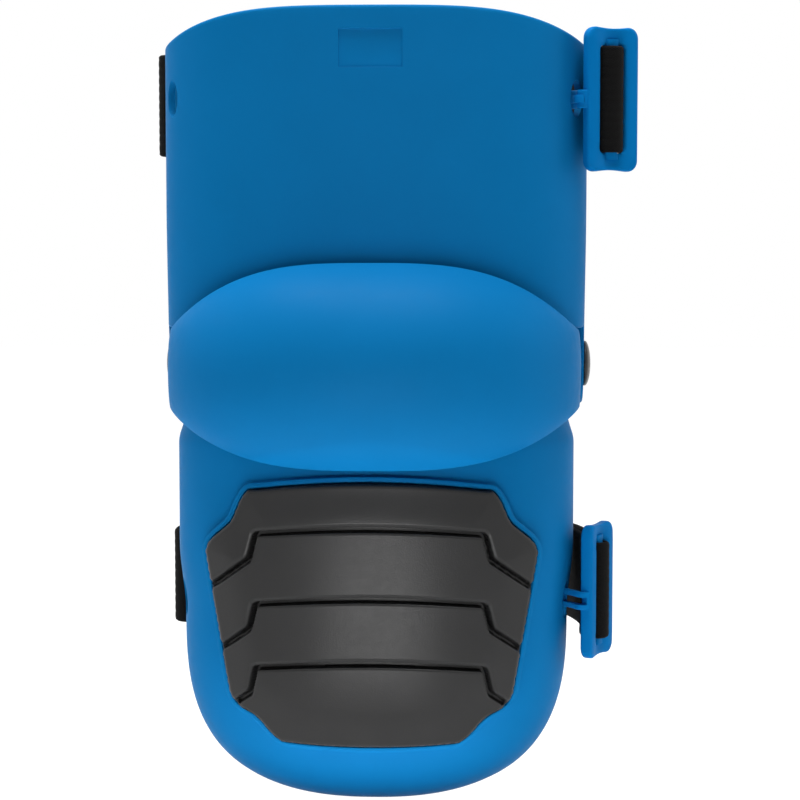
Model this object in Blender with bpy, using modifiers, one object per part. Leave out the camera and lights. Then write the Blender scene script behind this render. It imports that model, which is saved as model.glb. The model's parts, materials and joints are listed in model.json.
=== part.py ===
"""Articulated knee pad: thigh shell, knee cap and shin shell turning on one pair of rivets.

Sizes are in millimetres and become metres as points are placed.  The origin is the middle of the
rivet axis, +X is to the right seen from the front, +Y points back to the leg and +Z points up.
"""

from math import copysign, cos, pi, radians, sin, sqrt

import bmesh
import bpy
from mathutils import Vector

MM = 0.001

WALL = 2.6
GAP = 0.4
SECTION_POWER = 2.4
FRONT_SHARE = 0.8
EAR_RADIUS = 14.0
BEND_DEPTH = -14.0

THIGH_HALF_WIDTH_LOW = 77.0
THIGH_HALF_WIDTH_HIGH = 77.6
THIGH_FRONT = 57.0
THIGH_REAR = 12.0
THIGH_TOP = 128.0
THIGH_TOP_DROP = 12.4
THIGH_CORNER = 16.0
THIGH_SKIRT = 15.4
LABEL_WIDTH = 22.5
LABEL_HEIGHT = 13.7
LABEL_LEVEL = 114.0
LABEL_DEPTH = 1.0

SHIN_HALF_WIDTH = 73.4
SHIN_HALF_WIDTH_CAP = 71.2
SHIN_HALF_WIDTH_EAR = 70.8
SHIN_FRONT = 64.0
SHIN_REAR_CAP = 8.0
SHIN_REAR = 12.0
SHIN_SKIRT = -10.0
TOE_LEVEL = -91.0
TOE_HEIGHT = 66.0
TOE_DEPTH = -34.0
TOE_POWER = 2.9
TOE_SHARE = 0.45

CAP_HALF_WIDTH = 75.4
CAP_EAR = 74.0
CAP_EAR_HEIGHT = 13.6
CAP_CENTRE = -28.0
CAP_APEX = 90.0
CAP_POWER = 2.2
CAP_MIDDLE = 2.0
CAP_SWEEP = radians(68)
CAP_FRONT_SHARE = 0.7
CAP_EAR_SHARE = 0.8
CAP_TOP = 40.0
CAP_TOP_HALF_WIDTH = 74.6
CAP_TOP_APEX = 62.0
CAP_BOTTOM = 33.4
CAP_BOTTOM_HALF_WIDTH = 75.0
CAP_BOTTOM_APEX = 68.0
CAP_EDGE_POWER = 2.4

TREAD_HALF_OUTLINE = (
    (0.0, -37.0),
    (22.0, -37.7),
    (42.0, -40.0),
    (44.6, -43.0),
    (48.6, -52.5),
    (56.6, -59.2),
    (58.4, -62.6),
    (49.5, -111.5),
    (47.4, -115.8),
    (38.8, -120.8),
    (33.4, -127.6),
    (30.0, -129.4),
    (0.0, -130.6),
)
TREAD_SEAT = 0.8
TREAD_HEIGHT = 3.4
TREAD_CROWN = 1.4
GROOVE_LEVELS = (-54.2, -79.2, -102.0)
GROOVE_HALF_WIDTH = 39.7
GROOVE_SAG = 2.8
GROOVE_DROP = 8.5
GROOVE_LEAN = 1.6
GROOVE_RADIUS = 1.7
LIP_RADIUS = 1.5
LIP_OFFSET = 2.2

HOOK_HOLE_HEIGHT = 12.6
HOOK_HOLE_WIDTH = 8.2
THIGH_HOOK_SPOT = (73.0, -32.4)
THIGH_HOOK_LEVEL = 97.5
THIGH_HOOK_SLANT = radians(31)
SHIN_HOOK_SPOT = (70.5, -27.0)
SHIN_HOOK_LEVEL = -86.0
SHIN_HOOK_SLANT = radians(16)

THIGH_STRAP_WIDTH = 38.0
SHIN_STRAP_WIDTH = 35.6
STRAP_THICKNESS = 1.8
SLOT_PLAY = 3.0
SLOT_WIDTH = 5.0
THIGH_SLOT_DEPTH = 3.6
SHIN_SLOT_DEPTH = 0.4
THIGH_STRAP_LEVEL = 97.0
SHIN_STRAP_LEVEL = -82.0
THIGH_STRAP_STAND = 5.2
SHIN_STRAP_STAND = 4.4

STRAP_END = 19.0
STRAP_BACK = 62.0
STRAP_SIDE = ((4.4, -4.0), (2.3, 13.0), (-2.6, 29.0), (-13.0, 44.5), (-37.0, 57.5))
STRAP_RETURN = ((7.9, -2.5), (5.7, 14.3), (0.5, 31.0), (-10.6, 47.1), (-32.0, 59.4))
STRAP_WRAP = (
    (1.4, 6.6),
    (-1.2, 3.9),
    (-3.1, 1.8),
    (-3.6, 0.0),
    (-3.0, -2.1),
    (-0.9, -3.4),
    (1.6, -3.3),
    (3.3, -1.7),
    (3.8, 0.8),
    (4.1, 2.8),
    (5.8, 5.8),
)

BUCKLE_WIDTH = 21.4
BUCKLE_RAIL = 6.8
BUCKLE_THICKNESS = 4.8
BUCKLE_CORNER = 4.0
BUCKLE_EDGE = 0.6
BUCKLE_WINDOW_WIDTH = 10.8
BUCKLE_WINDOW_PLAY = 0.8
BUCKLE_BAR_WIDTH = 4.4
BUCKLE_BAR_THICKNESS = 2.6
BUCKLE_ARM_HEIGHT = 6.6
BUCKLE_POCKET_HEIGHT = 2.8
BUCKLE_ARM_THICKNESS = 2.2
BUCKLE_HOOK_ROOT = ((1.4, 1.6), (-1.4, 3.2))
BUCKLE_HOOK_LEAN = 0.4
BUCKLE_HOOK_TIP = (-1.0, 4.2)
THIGH_BUCKLE_PIVOT = (72.0, -32.0)
THIGH_BUCKLE_CORNER = (0.45, -9.6)
THIGH_BUCKLE_TURN = radians(30)
SHIN_BUCKLE_PIVOT = (69.8, -27.0)
SHIN_BUCKLE_CORNER = (-3.9, -12.6)
SHIN_BUCKLE_TURN = radians(65)
SHIN_BUCKLE_RISE = 2.8

RIVET_HEAD_RADIUS = 8.5
RIVET_HEAD_HEIGHT = 2.7
RIVET_SHANK_RADIUS = 3.0
RIVET_HOLE_RADIUS = 3.3
WASHER_RADIUS = 7.0
WASHER_THICKNESS = 0.9
RIVET_CAP_RADIUS = 6.0
RIVET_CAP_THICKNESS = 1.5

PATCH_THICKNESS = 1.3
LINER_GAP = 2.0
LINING_THICKNESS = 0.8


def clear_scene():
    """Remove every object that the new file starts with."""
    for thing in list(bpy.data.objects):
        bpy.data.objects.remove(thing, do_unlink=True)


def make_collection(name):
    """Return a new collection linked to the scene."""
    collection = bpy.data.collections.new(name)
    bpy.context.scene.collection.children.link(collection)
    return collection


def make_material(name, colour, roughness, metallic=0.0):
    """Return a Principled material."""
    material = bpy.data.materials.new(name)
    material.use_nodes = True
    shader = material.node_tree.nodes["Principled BSDF"]
    shader.inputs["Base Color"].default_value = (*colour, 1.0)
    shader.inputs["Roughness"].default_value = roughness
    shader.inputs["Metallic"].default_value = metallic
    return material


clear_scene()
PARTS = make_collection("knee_pad")
CUTTERS = make_collection("knee_pad_cutters")
BLUE = make_material("blue_plastic", (0.004, 0.105, 0.29), 0.42)
RUBBER = make_material("tread_rubber", (0.03, 0.031, 0.033), 0.6)
WEBBING = make_material("strap_webbing", (0.008, 0.008, 0.008), 0.9)
BLACK_METAL = make_material("rivet_black", (0.012, 0.012, 0.013), 0.35, 0.6)
STEEL = make_material("washer_steel", (0.45, 0.45, 0.46), 0.35, 1.0)
FOAM = make_material("liner_foam", (0.02, 0.021, 0.023), 0.95)
KNIT = make_material("liner_knit", (0.012, 0.013, 0.015), 0.9)
HOOK_TAPE = make_material("hook_tape", (0.01, 0.01, 0.01), 0.95)


def mix(first, second, share):
    """Blend two numbers."""
    return first + (second - first) * share


def ease(start, end, value):
    """Rise smoothly from 0 at start to 1 at end."""
    share = min(1.0, max(0.0, (value - start) / (end - start)))
    return share * share * (3.0 - 2.0 * share)


def section_point(side, half_width, front, bend, rear):
    """Return a point of a U section; side runs from -1 (left rear edge) to 1 (right rear edge)."""
    reach = abs(side)
    if reach <= FRONT_SHARE:
        angle = 0.5 * pi * reach / FRONT_SHARE
        x = half_width * sin(angle) ** (2.0 / SECTION_POWER)
        y = bend - (bend + front) * max(0.0, cos(angle)) ** (2.0 / SECTION_POWER)
    else:
        share = (reach - FRONT_SHARE) / (1.0 - FRONT_SHARE)
        x = half_width
        y = mix(bend, rear, 0.5 - 0.5 * cos(pi * share))
    return copysign(x, side), y


def thigh_section(side, z, inset=0.0):
    """Return the thigh shell's outer point at a height, or one set in from it."""
    half_width = mix(THIGH_HALF_WIDTH_LOW, THIGH_HALF_WIDTH_HIGH, ease(0.0, 60.0, z))
    rear = mix(EAR_RADIUS, THIGH_REAR, ease(10.0, 45.0, z))
    return section_point(side, half_width - inset, THIGH_FRONT - inset, BEND_DEPTH, rear)


def thigh_top(side):
    """Return the height of the thigh shell's top edge."""
    x, _ = thigh_section(side, 120.0)
    level = THIGH_TOP - THIGH_TOP_DROP * abs(x / THIGH_HALF_WIDTH_HIGH) ** 4
    share = max(0.0, (abs(side) - FRONT_SHARE) / (1.0 - FRONT_SHARE))
    return level - THIGH_CORNER * (1.0 - sqrt(max(0.0, 1.0 - share * share)))


def thigh_bottom(side):
    """Return the height of the thigh shell's lower edge, with the round ear at each side."""
    reach = abs(side)
    if reach >= FRONT_SHARE:
        _, y = thigh_section(side, 0.0)
        return -sqrt(max(0.0, EAR_RADIUS ** 2 - y * y))
    return THIGH_SKIRT * ease(0.0, 0.05, 1.0 - reach / FRONT_SHARE)


def thigh_point(u, v):
    """Return a point of the thigh shell's outer surface."""
    side = 2.0 * u - 1.0
    z = mix(thigh_bottom(side), thigh_top(side), v)
    x, y = thigh_section(side, z)
    return x, y, z


def shin_half_width(z):
    """Return the shin shell's half width above the toe."""
    half_width = mix(SHIN_HALF_WIDTH_CAP, SHIN_HALF_WIDTH, ease(TOE_LEVEL, -65.0, z))
    return half_width + (SHIN_HALF_WIDTH_EAR - SHIN_HALF_WIDTH) * ease(-28.0, -17.0, z)


def shin_section(side, z, inset=0.0):
    """Return the shin shell's outer point at a height above the toe, or one set in from it."""
    half_width = shin_half_width(z)
    rear = mix(SHIN_REAR_CAP, SHIN_REAR, ease(TOE_LEVEL, -55.0, z))
    rear = mix(rear, EAR_RADIUS, ease(-40.0, -10.0, z))
    front = SHIN_FRONT - 3.0 * ease(-34.0, -8.0, z)
    return section_point(side, half_width - inset, front - inset, BEND_DEPTH, rear)


def shin_top(side):
    """Return the height of the shin shell's upper edge, with the round ear at each side."""
    reach = abs(side)
    if reach >= FRONT_SHARE:
        _, y = shin_section(side, 0.0)
        return sqrt(max(0.0, EAR_RADIUS ** 2 - y * y))
    return SHIN_SKIRT * ease(0.0, 0.05, 1.0 - reach / FRONT_SHARE)


def toe_scale(z):
    """Return how far the shin section has shrunk towards the toe at a height."""
    if z >= TOE_LEVEL:
        return 1.0
    drop = min(1.0, (TOE_LEVEL - z) / TOE_HEIGHT)
    return max(0.0, 1.0 - drop ** TOE_POWER) ** (1.0 / TOE_POWER)


def shin_level(side, z, inset=0.0):
    """Return the shin shell's point at any height, toe included."""
    if z >= TOE_LEVEL:
        return shin_section(side, z, inset)
    x, y = shin_section(side, TOE_LEVEL, inset)
    scale = toe_scale(z)
    return x * scale, mix(TOE_DEPTH, y, scale if y < TOE_DEPTH else scale * scale)


def shin_point(u, v):
    """Return a point of the shin shell's outer surface, from the toe up to the ears."""
    side = 2.0 * u - 1.0
    if v < TOE_SHARE:
        angle = 0.5 * pi * v / TOE_SHARE
        z = TOE_LEVEL - TOE_HEIGHT * max(0.0, cos(angle)) ** (2.0 / TOE_POWER)
    else:
        share = 1.0 - ((1.0 - v) / (1.0 - TOE_SHARE)) ** 1.6
        z = mix(TOE_LEVEL, shin_top(side), share)
    x, y = shin_level(side, z)
    return x, y, z


def shin_surface(x, z, height=0.0):
    """Return the point of the shin shell's front that lies at x and z, raised by a height."""
    def depth(across, level):
        scale = toe_scale(level)
        wide = scale * shin_half_width(level)
        near = max(0.0, 1.0 - abs(across / wide) ** SECTION_POWER) ** (1.0 / SECTION_POWER)
        y = BEND_DEPTH - (BEND_DEPTH + SHIN_FRONT) * near
        return mix(TOE_DEPTH, y, scale if y < TOE_DEPTH else scale * scale)
    here = Vector((x, depth(x, z), z))
    across = Vector((x + 0.5, depth(x + 0.5, z), z)) - Vector((x - 0.5, depth(x - 0.5, z), z))
    along = Vector((x, depth(x, z + 0.5), z + 0.5)) - Vector((x, depth(x, z - 0.5), z - 0.5))
    return here + across.cross(along).normalized() * height


def cap_ring(side, half_width, apex, power):
    """Return a point of a level ring of the knee cap, from one ear round the front to the other."""
    reach = abs(side)
    if reach <= CAP_FRONT_SHARE:
        angle = 0.5 * pi * reach / CAP_FRONT_SHARE
        x = half_width * sin(angle) ** (2.0 / power)
        y = CAP_CENTRE - (apex + CAP_CENTRE) * max(0.0, cos(angle)) ** (2.0 / power)
    elif reach <= CAP_EAR_SHARE:
        share = (reach - CAP_FRONT_SHARE) / (CAP_EAR_SHARE - CAP_FRONT_SHARE)
        x = mix(half_width, CAP_EAR, ease(0.0, 0.7, share))
        y = mix(CAP_CENTRE, BEND_DEPTH, share)
    else:
        share = 3.0 * (reach - CAP_EAR_SHARE) / (1.0 - CAP_EAR_SHARE)
        x = CAP_EAR
        y = mix(BEND_DEPTH, 0.0, share) if share < 1.0 else EAR_RADIUS * sin(0.25 * pi * (share - 1.0))
    return copysign(x, side), y


def cap_point(side, up, inset=0.0):
    """Return a point of the knee cap; up runs from -1 at the lower edge to 1 at the upper edge."""
    x, y = cap_ring(side, CAP_HALF_WIDTH, CAP_APEX, CAP_POWER)
    if y > 0.0:
        return x, y, up * CAP_EAR_HEIGHT * sqrt(max(0.0, 1.0 - (y / EAR_RADIUS) ** 2))
    wide = CAP_TOP_HALF_WIDTH if up > 0.0 else CAP_BOTTOM_HALF_WIDTH
    edge_x, edge_y = cap_ring(side, wide, CAP_TOP_APEX if up > 0.0 else CAP_BOTTOM_APEX, CAP_EDGE_POWER)
    reach = (CAP_TOP if up > 0.0 else CAP_BOTTOM) - CAP_EAR_HEIGHT
    fall = min(1.0, abs(edge_x) / wide) ** CAP_EDGE_POWER if y < CAP_CENTRE else 1.0
    edge_z = copysign(CAP_EAR_HEIGHT + reach * (1.0 - fall), up)
    angle = CAP_SWEEP * abs(up)
    rise = sin(angle) / sin(CAP_SWEEP)
    draw = (1.0 - cos(angle)) / (1.0 - cos(CAP_SWEEP))
    middle = CAP_MIDDLE * (1.0 - fall)
    deep = CAP_APEX + CAP_CENTRE
    slope_x = min(1.0, abs(x) / CAP_HALF_WIDTH) ** (CAP_POWER - 1.0) / CAP_HALF_WIDTH
    slope_y = max(0.0, (CAP_CENTRE - y) / deep) ** (CAP_POWER - 1.0) / deep
    length = sqrt(slope_x ** 2 + slope_y ** 2)
    x = mix(x, edge_x, draw) - copysign(inset * slope_x / length, side)
    y = mix(y, edge_y, draw) + inset * slope_y / length
    return x, y, mix(middle, edge_z, rise)


def keep(name, data, material, collection=None):
    """Put a mesh or curve into the scene as a named object."""
    thing = bpy.data.objects.new(name, data)
    (collection or PARTS).objects.link(thing)
    data.materials.append(material)
    return thing


def keep_cutter(name, data):
    """Put a cutter into the scene, out of sight."""
    thing = keep(name, data, BLUE, CUTTERS)
    thing.hide_render = True
    thing.display_type = "WIRE"
    return thing


def finish_mesh(name, form):
    """Weld, turn the faces outward and return a mesh."""
    bmesh.ops.remove_doubles(form, verts=form.verts, dist=0.00005)
    bmesh.ops.recalc_face_normals(form, faces=form.faces)
    mesh = bpy.data.meshes.new(name)
    form.to_mesh(mesh)
    form.free()
    return mesh


def mapped_sheet(name, columns, rows, place):
    """Return an open sheet: a grid whose points are placed by a formula of u and v."""
    form = bmesh.new()
    bmesh.ops.create_grid(form, x_segments=columns, y_segments=rows, size=0.5)
    for vert in form.verts:
        vert.co = Vector(place(vert.co.x + 0.5, vert.co.y + 0.5)) * MM
    bmesh.ops.remove_doubles(form, verts=form.verts, dist=0.00005)
    mesh = bpy.data.meshes.new(name)
    form.to_mesh(mesh)
    form.free()
    return mesh


def mapped_slab(name, columns, rows, place):
    """Return a closed slab: a grid and its extruded copy, placed by a formula of u, v and layer."""
    form = bmesh.new()
    bmesh.ops.create_grid(form, x_segments=columns, y_segments=rows, size=0.5)
    spots = {vert: (vert.co.x + 0.5, vert.co.y + 0.5, 0) for vert in form.verts}
    grown = bmesh.ops.extrude_face_region(form, geom=form.faces[:])
    for vert in form.verts:
        if vert not in spots:
            spots[vert] = (vert.co.x + 0.5, vert.co.y + 0.5, 1)
    for vert, spot in spots.items():
        vert.co = Vector(place(*spot)) * MM
    del grown
    return finish_mesh(name, form)


def cylinder_mesh(name, radius, length, sides):
    """Return a cylinder along X through its own middle."""
    form = bmesh.new()
    bmesh.ops.create_cone(
        form, cap_ends=True, segments=sides, radius1=radius * MM, radius2=radius * MM, depth=length * MM
    )
    for vert in form.verts:
        vert.co = Vector((vert.co.z, vert.co.y, vert.co.x))
    return finish_mesh(name, form)


def box_mesh(name, size):
    """Return a box centred on its own origin."""
    form = bmesh.new()
    bmesh.ops.create_cube(form, size=1.0)
    for vert in form.verts:
        vert.co = Vector((vert.co.x * size[0], vert.co.y * size[1], vert.co.z * size[2])) * MM
    return finish_mesh(name, form)


def shell_wall(thing, thickness=WALL):
    """Give an open sheet its wall, grown inward."""
    wall = thing.modifiers.new("wall", "SOLIDIFY")
    wall.thickness = thickness * MM
    wall.offset = -1.0
    wall.use_even_offset = True
    wall.use_rim = True


def boolean(thing, other, operation):
    """Cut or join a helper object."""
    step = thing.modifiers.new(other.name, "BOOLEAN")
    step.operation = operation
    step.solver = "EXACT"
    step.object = other


def face_outward(mesh, centre):
    """Turn an open sheet's faces away from a point inside it."""
    form = bmesh.new()
    form.from_mesh(mesh)
    middle = Vector(centre) * MM
    total = sum((face.calc_center_median() - middle).dot(face.normal) * face.calc_area() for face in form.faces)
    if total < 0.0:
        bmesh.ops.reverse_faces(form, faces=form.faces)
    form.to_mesh(mesh)
    form.free()


def outline_curve(name, loops, half_height, edge=0.0):
    """Return a flat closed curve, filled and extruded along its own Z."""
    curve = bpy.data.curves.new(name, "CURVE")
    curve.dimensions = "2D"
    curve.fill_mode = "BOTH"
    curve.extrude = (half_height - edge) * MM
    curve.bevel_depth = edge * MM
    curve.bevel_resolution = 0
    curve.offset = -edge * MM
    for loop in loops:
        spline = curve.splines.new("POLY")
        spline.points.add(len(loop) - 1)
        for point, spot in zip(spline.points, loop):
            point.co = (spot[0] * MM, spot[1] * MM, 0.0, 1.0)
        spline.use_cyclic_u = True
    return curve


def smooth_path(route, steps):
    """Return points of a smooth curve through a route."""
    points = [Vector((x, y, 0.0)) for x, y in route]
    points = [2.0 * points[0] - points[1]] + points + [2.0 * points[-1] - points[-2]]
    path = []
    for index in range(1, len(points) - 2):
        a, b, c, d = points[index - 1:index + 3]
        for step in range(steps):
            t = step / steps
            path.append(
                0.5 * (2.0 * b + (c - a) * t + (2.0 * a - 5.0 * b + 4.0 * c - d) * t * t
                       + (3.0 * b - a - 3.0 * c + d) * t ** 3)
            )
    path.append(points[-2])
    return path


def ribbon_outline(path, thickness):
    """Return the closed outline of a band of even thickness along a path."""
    left = []
    right = []
    for index, point in enumerate(path):
        ahead = path[min(index + 1, len(path) - 1)]
        behind = path[max(index - 1, 0)]
        along = (ahead - behind).normalized()
        across = Vector((-along.y, along.x, 0.0)) * thickness * 0.5
        left.append(point + across)
        right.append(point - across)
    return left + right[::-1]


def rounded_rectangle(width, height, radius, steps=3):
    """Return the outline of a rectangle with round corners."""
    loop = []
    corners = ((1, 1, 0.0), (-1, 1, 0.5), (-1, -1, 1.0), (1, -1, 1.5))
    for sign_x, sign_y, start in corners:
        for step in range(steps + 1):
            angle = pi * (start + 0.5 * step / steps)
            x = sign_x * (0.5 * width - radius) + radius * cos(angle)
            y = sign_y * (0.5 * height - radius) + radius * sin(angle)
            loop.append((x, y))
    return loop


def rivet_holes(thing, name):
    """Bore both ears of a shell on the rivet axis."""
    for sign, side in ((-1, "left"), (1, "right")):
        cutter = keep_cutter(name + "_bore_" + side, cylinder_mesh(name + "_bore", RIVET_HOLE_RADIUS, 20.0, 20))
        cutter.location = (sign * 72.0 * MM, 0.0, 0.0)
        boolean(thing, cutter, "DIFFERENCE")


def hook_holes(thing, name, spot, level, slant):
    """Cut an upright oval through both sides of a shell for the buckle hooks."""
    for sign, side in ((-1, "left"), (1, "right")):
        round_mesh = cylinder_mesh(name + "_hook", 0.5 * HOOK_HOLE_HEIGHT, 16.0, 20)
        cutter = keep_cutter(name + "_hook_" + side, round_mesh)
        cutter.location = (sign * spot[0] * MM, spot[1] * MM, level * MM)
        cutter.rotation_euler = (0.0, 0.0, -sign * slant)
        cutter.scale = (1.0, HOOK_HOLE_WIDTH / HOOK_HOLE_HEIGHT, 1.0)
        boolean(thing, cutter, "DIFFERENCE")


def strap_slot(thing, name, spot, strap_width):
    """Cut the strap slot near a shell's left rear edge."""
    size = (16.0, SLOT_WIDTH, strap_width + SLOT_PLAY)
    cutter = keep_cutter(name + "_slot", box_mesh(name + "_slot", size))
    cutter.location = Vector(spot) * MM
    boolean(thing, cutter, "DIFFERENCE")


def build_thigh_shell():
    """Build the thigh shell with its flat recess, bores and slot."""
    mesh = mapped_sheet("upper_shell", 40, 8, thigh_point)
    face_outward(mesh, (0.0, 0.0, 60.0))
    shell = keep("upper_shell", mesh, BLUE)
    shell_wall(shell)
    rivet_holes(shell, "upper_shell")
    hook_holes(shell, "upper_shell", THIGH_HOOK_SPOT, THIGH_HOOK_LEVEL, THIGH_HOOK_SLANT)
    strap_slot(shell, "upper_shell", (-77.0, THIGH_SLOT_DEPTH, THIGH_STRAP_LEVEL), THIGH_STRAP_WIDTH)
    recess = keep_cutter("label_recess", box_mesh("label_recess", (LABEL_WIDTH, 10.0, LABEL_HEIGHT)))
    recess.location = (0.0, (LABEL_DEPTH - THIGH_FRONT - 5.0) * MM, LABEL_LEVEL * MM)
    boolean(shell, recess, "DIFFERENCE")


def tread_outline():
    """Return the tread pad's whole outline."""
    right = list(TREAD_HALF_OUTLINE)
    left = [(-x, z) for x, z in right[-2:0:-1]]
    return right + left


def grown_outline(loop, amount):
    """Return a closed outline moved outward by an amount."""
    moved = []
    for index, (x, z) in enumerate(loop):
        ahead = loop[(index + 1) % len(loop)]
        behind = loop[index - 1]
        first = Vector((x - behind[0], z - behind[1])).normalized()
        second = Vector((ahead[0] - x, ahead[1] - z)).normalized()
        normal_first = Vector((-first.y, first.x))
        normal = (normal_first + Vector((-second.y, second.x))).normalized()
        spread = amount / max(0.5, normal.dot(normal_first))
        moved.append((x + normal.x * spread, z + normal.y * spread))
    return moved


def refined(loop, longest):
    """Return a closed outline with points no further apart than a length."""
    fine = []
    for index, (x, z) in enumerate(loop):
        ahead = loop[(index + 1) % len(loop)]
        count = max(1, int(Vector((ahead[0] - x, ahead[1] - z)).length / longest) + 1)
        for step in range(count):
            fine.append((mix(x, ahead[0], step / count), mix(z, ahead[1], step / count)))
    return fine


def tube_mesh(name, points, radius, cyclic):
    """Return the mesh of a round bead along points in millimetres."""
    curve = bpy.data.curves.new(name, "CURVE")
    curve.dimensions = "3D"
    curve.bevel_depth = radius * MM
    curve.bevel_resolution = 1
    curve.use_fill_caps = True
    spline = curve.splines.new("POLY")
    spline.points.add(len(points) - 1)
    for point, spot in zip(spline.points, points):
        point.co = (spot[0] * MM, spot[1] * MM, spot[2] * MM, 1.0)
    spline.use_cyclic_u = cyclic
    holder = bpy.data.objects.new(name, curve)
    mesh = bpy.data.meshes.new_from_object(holder)
    bpy.data.objects.remove(holder)
    form = bmesh.new()
    form.from_mesh(mesh)
    return finish_mesh(name, form)


def build_shin_shell():
    """Build the shin shell with its toe, raised lip, bores and slot."""
    mesh = mapped_sheet("lower_shell", 40, 14, shin_point)
    face_outward(mesh, (0.0, 0.0, -70.0))
    shell = keep("lower_shell", mesh, BLUE)
    shell_wall(shell)
    rivet_holes(shell, "lower_shell")
    hook_holes(shell, "lower_shell", SHIN_HOOK_SPOT, SHIN_HOOK_LEVEL, SHIN_HOOK_SLANT)
    strap_slot(shell, "lower_shell", (-71.5, SHIN_SLOT_DEPTH, SHIN_STRAP_LEVEL), SHIN_STRAP_WIDTH)
    loop = refined(grown_outline(tread_outline(), LIP_OFFSET), 9.0)
    bead = [shin_surface(x, z, 0.2) for x, z in loop]
    lip = keep_cutter("tread_lip", tube_mesh("tread_lip", bead, LIP_RADIUS, True))
    boolean(shell, lip, "UNION")


def tread_half_width(z):
    """Return the tread pad's half width at a height."""
    for (x_high, z_high), (x_low, z_low) in zip(TREAD_HALF_OUTLINE[2:-2], TREAD_HALF_OUTLINE[3:-1]):
        if z_low <= z <= z_high:
            return mix(x_high, x_low, (z_high - z) / (z_high - z_low))
    return 42.0 if z > -60.0 else 30.0


def groove_route(level):
    """Return a chevron groove's route in x and z, from the left edge to the right."""
    right = [(0.0, level), (20.0, level - 0.7), (GROOVE_HALF_WIDTH - 2.0, level - GROOVE_SAG)]
    corner = (GROOVE_HALF_WIDTH, level - GROOVE_SAG - 1.6)
    foot = (GROOVE_HALF_WIDTH + GROOVE_LEAN, level - GROOVE_SAG - GROOVE_DROP)
    right += [corner, foot, (foot[0] + 22.0, foot[1] - 17.0)]
    return [(-x, z) for x, z in right[:0:-1]] + right


def build_tread():
    """Build the tread pad and cut its three chevron grooves."""
    levels = [z for _, z in TREAD_HALF_OUTLINE[2:-1]]

    def place(u, v, layer):
        spot = v * (len(levels) - 1)
        index = min(int(spot + 0.0001), len(levels) - 2)
        z = mix(levels[index], levels[index + 1], spot - index)
        x = (2.0 * u - 1.0) * tread_half_width(z)
        share = 1.0 - (2.0 * u - 1.0) ** 2
        if index == 0:
            z += 3.0 * share * (1.0 - spot)
        if index == len(levels) - 2:
            z -= 1.2 * share * (spot - index)
        if layer == 0:
            return shin_surface(x, z, TREAD_SEAT)
        rim = min(1.0, 6.0 * min(u, 1.0 - u)) * min(1.0, 6.0 * min(v, 1.0 - v))
        return shin_surface(x, z, TREAD_SEAT + TREAD_HEIGHT + TREAD_CROWN * rim)

    pad = keep("tread_pad", mapped_slab("tread_pad", 14, len(levels) - 1 + 9, place), RUBBER)
    top = TREAD_SEAT + TREAD_HEIGHT + TREAD_CROWN
    for number, level in enumerate(GROOVE_LEVELS):
        route = [shin_surface(x, z, top) for x, z in groove_route(level)]
        name = "tread_groove_" + str(number + 1)
        boolean(pad, keep_cutter(name, tube_mesh(name, route, GROOVE_RADIUS, False)), "DIFFERENCE")


def build_knee_cap():
    """Build the domed knee cap with its two ears."""
    mesh = mapped_sheet("knee_cap", 40, 10, lambda u, v: cap_point(2.0 * u - 1.0, 2.0 * v - 1.0))
    face_outward(mesh, (0.0, -10.0, 0.0))
    cap = keep("knee_cap", mesh, BLUE)
    shell_wall(cap)
    rivet_holes(cap, "knee_cap")


def turned(name, profile, steps, material):
    """Return a piece turned about X from a closed profile of (radius, x) points."""
    mesh = bpy.data.meshes.new(name)
    points = [(radius * MM, 0.0, x * MM) for radius, x in profile]
    edges = [(index, index + 1) for index in range(len(points) - 1)]
    if profile[0][0] > 0.0:
        edges.append((len(points) - 1, 0))
    mesh.from_pydata(points, edges, [])
    piece = keep(name, mesh, material)
    spin = piece.modifiers.new("turn", "SCREW")
    spin.steps = steps
    spin.render_steps = steps
    spin.use_merge_vertices = True
    spin.merge_threshold = 0.00005
    spin.use_normal_calculate = True
    spin.use_normal_flip = True
    return piece


def build_hinge():
    """Build the rivet, washer and cap of each hinge side."""
    outer = THIGH_HALF_WIDTH_LOW
    inner = SHIN_HALF_WIDTH_EAR - WALL
    washer_face = inner - GAP
    cap_face = washer_face - WASHER_THICKNESS - GAP
    dome = [(RIVET_HEAD_RADIUS * cos(a), RIVET_HEAD_HEIGHT * sin(a)) for a in (1.3, 1.0, 0.65, 0.3)]
    head = [(0.0, outer + GAP + RIVET_HEAD_HEIGHT)]
    head += [(radius, outer + GAP + height) for radius, height in dome]
    head += [(RIVET_HEAD_RADIUS, outer + GAP), (RIVET_SHANK_RADIUS, outer + GAP)]
    head += [(RIVET_SHANK_RADIUS, cap_face + GAP), (0.0, cap_face + GAP)]
    washer = [
        (RIVET_HOLE_RADIUS, washer_face),
        (WASHER_RADIUS, washer_face),
        (WASHER_RADIUS, washer_face - WASHER_THICKNESS),
        (RIVET_HOLE_RADIUS, washer_face - WASHER_THICKNESS),
    ]
    cap = [
        (0.0, cap_face),
        (RIVET_CAP_RADIUS, cap_face),
        (RIVET_CAP_RADIUS - 0.5, cap_face - RIVET_CAP_THICKNESS + 0.4),
        (RIVET_CAP_RADIUS - 1.2, cap_face - RIVET_CAP_THICKNESS),
        (0.0, cap_face - RIVET_CAP_THICKNESS),
    ]
    for sign, side in ((-1, "left"), (1, "right")):
        for name, profile, material in (
            ("hinge_rivet_", head, BLACK_METAL),
            ("hinge_washer_", washer, STEEL),
            ("hinge_cap_", cap, BLACK_METAL),
        ):
            piece = turned(name + side, profile, 24, material)
            piece.rotation_euler = (0.0, sign * 0.5 * pi, 0.0)


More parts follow.
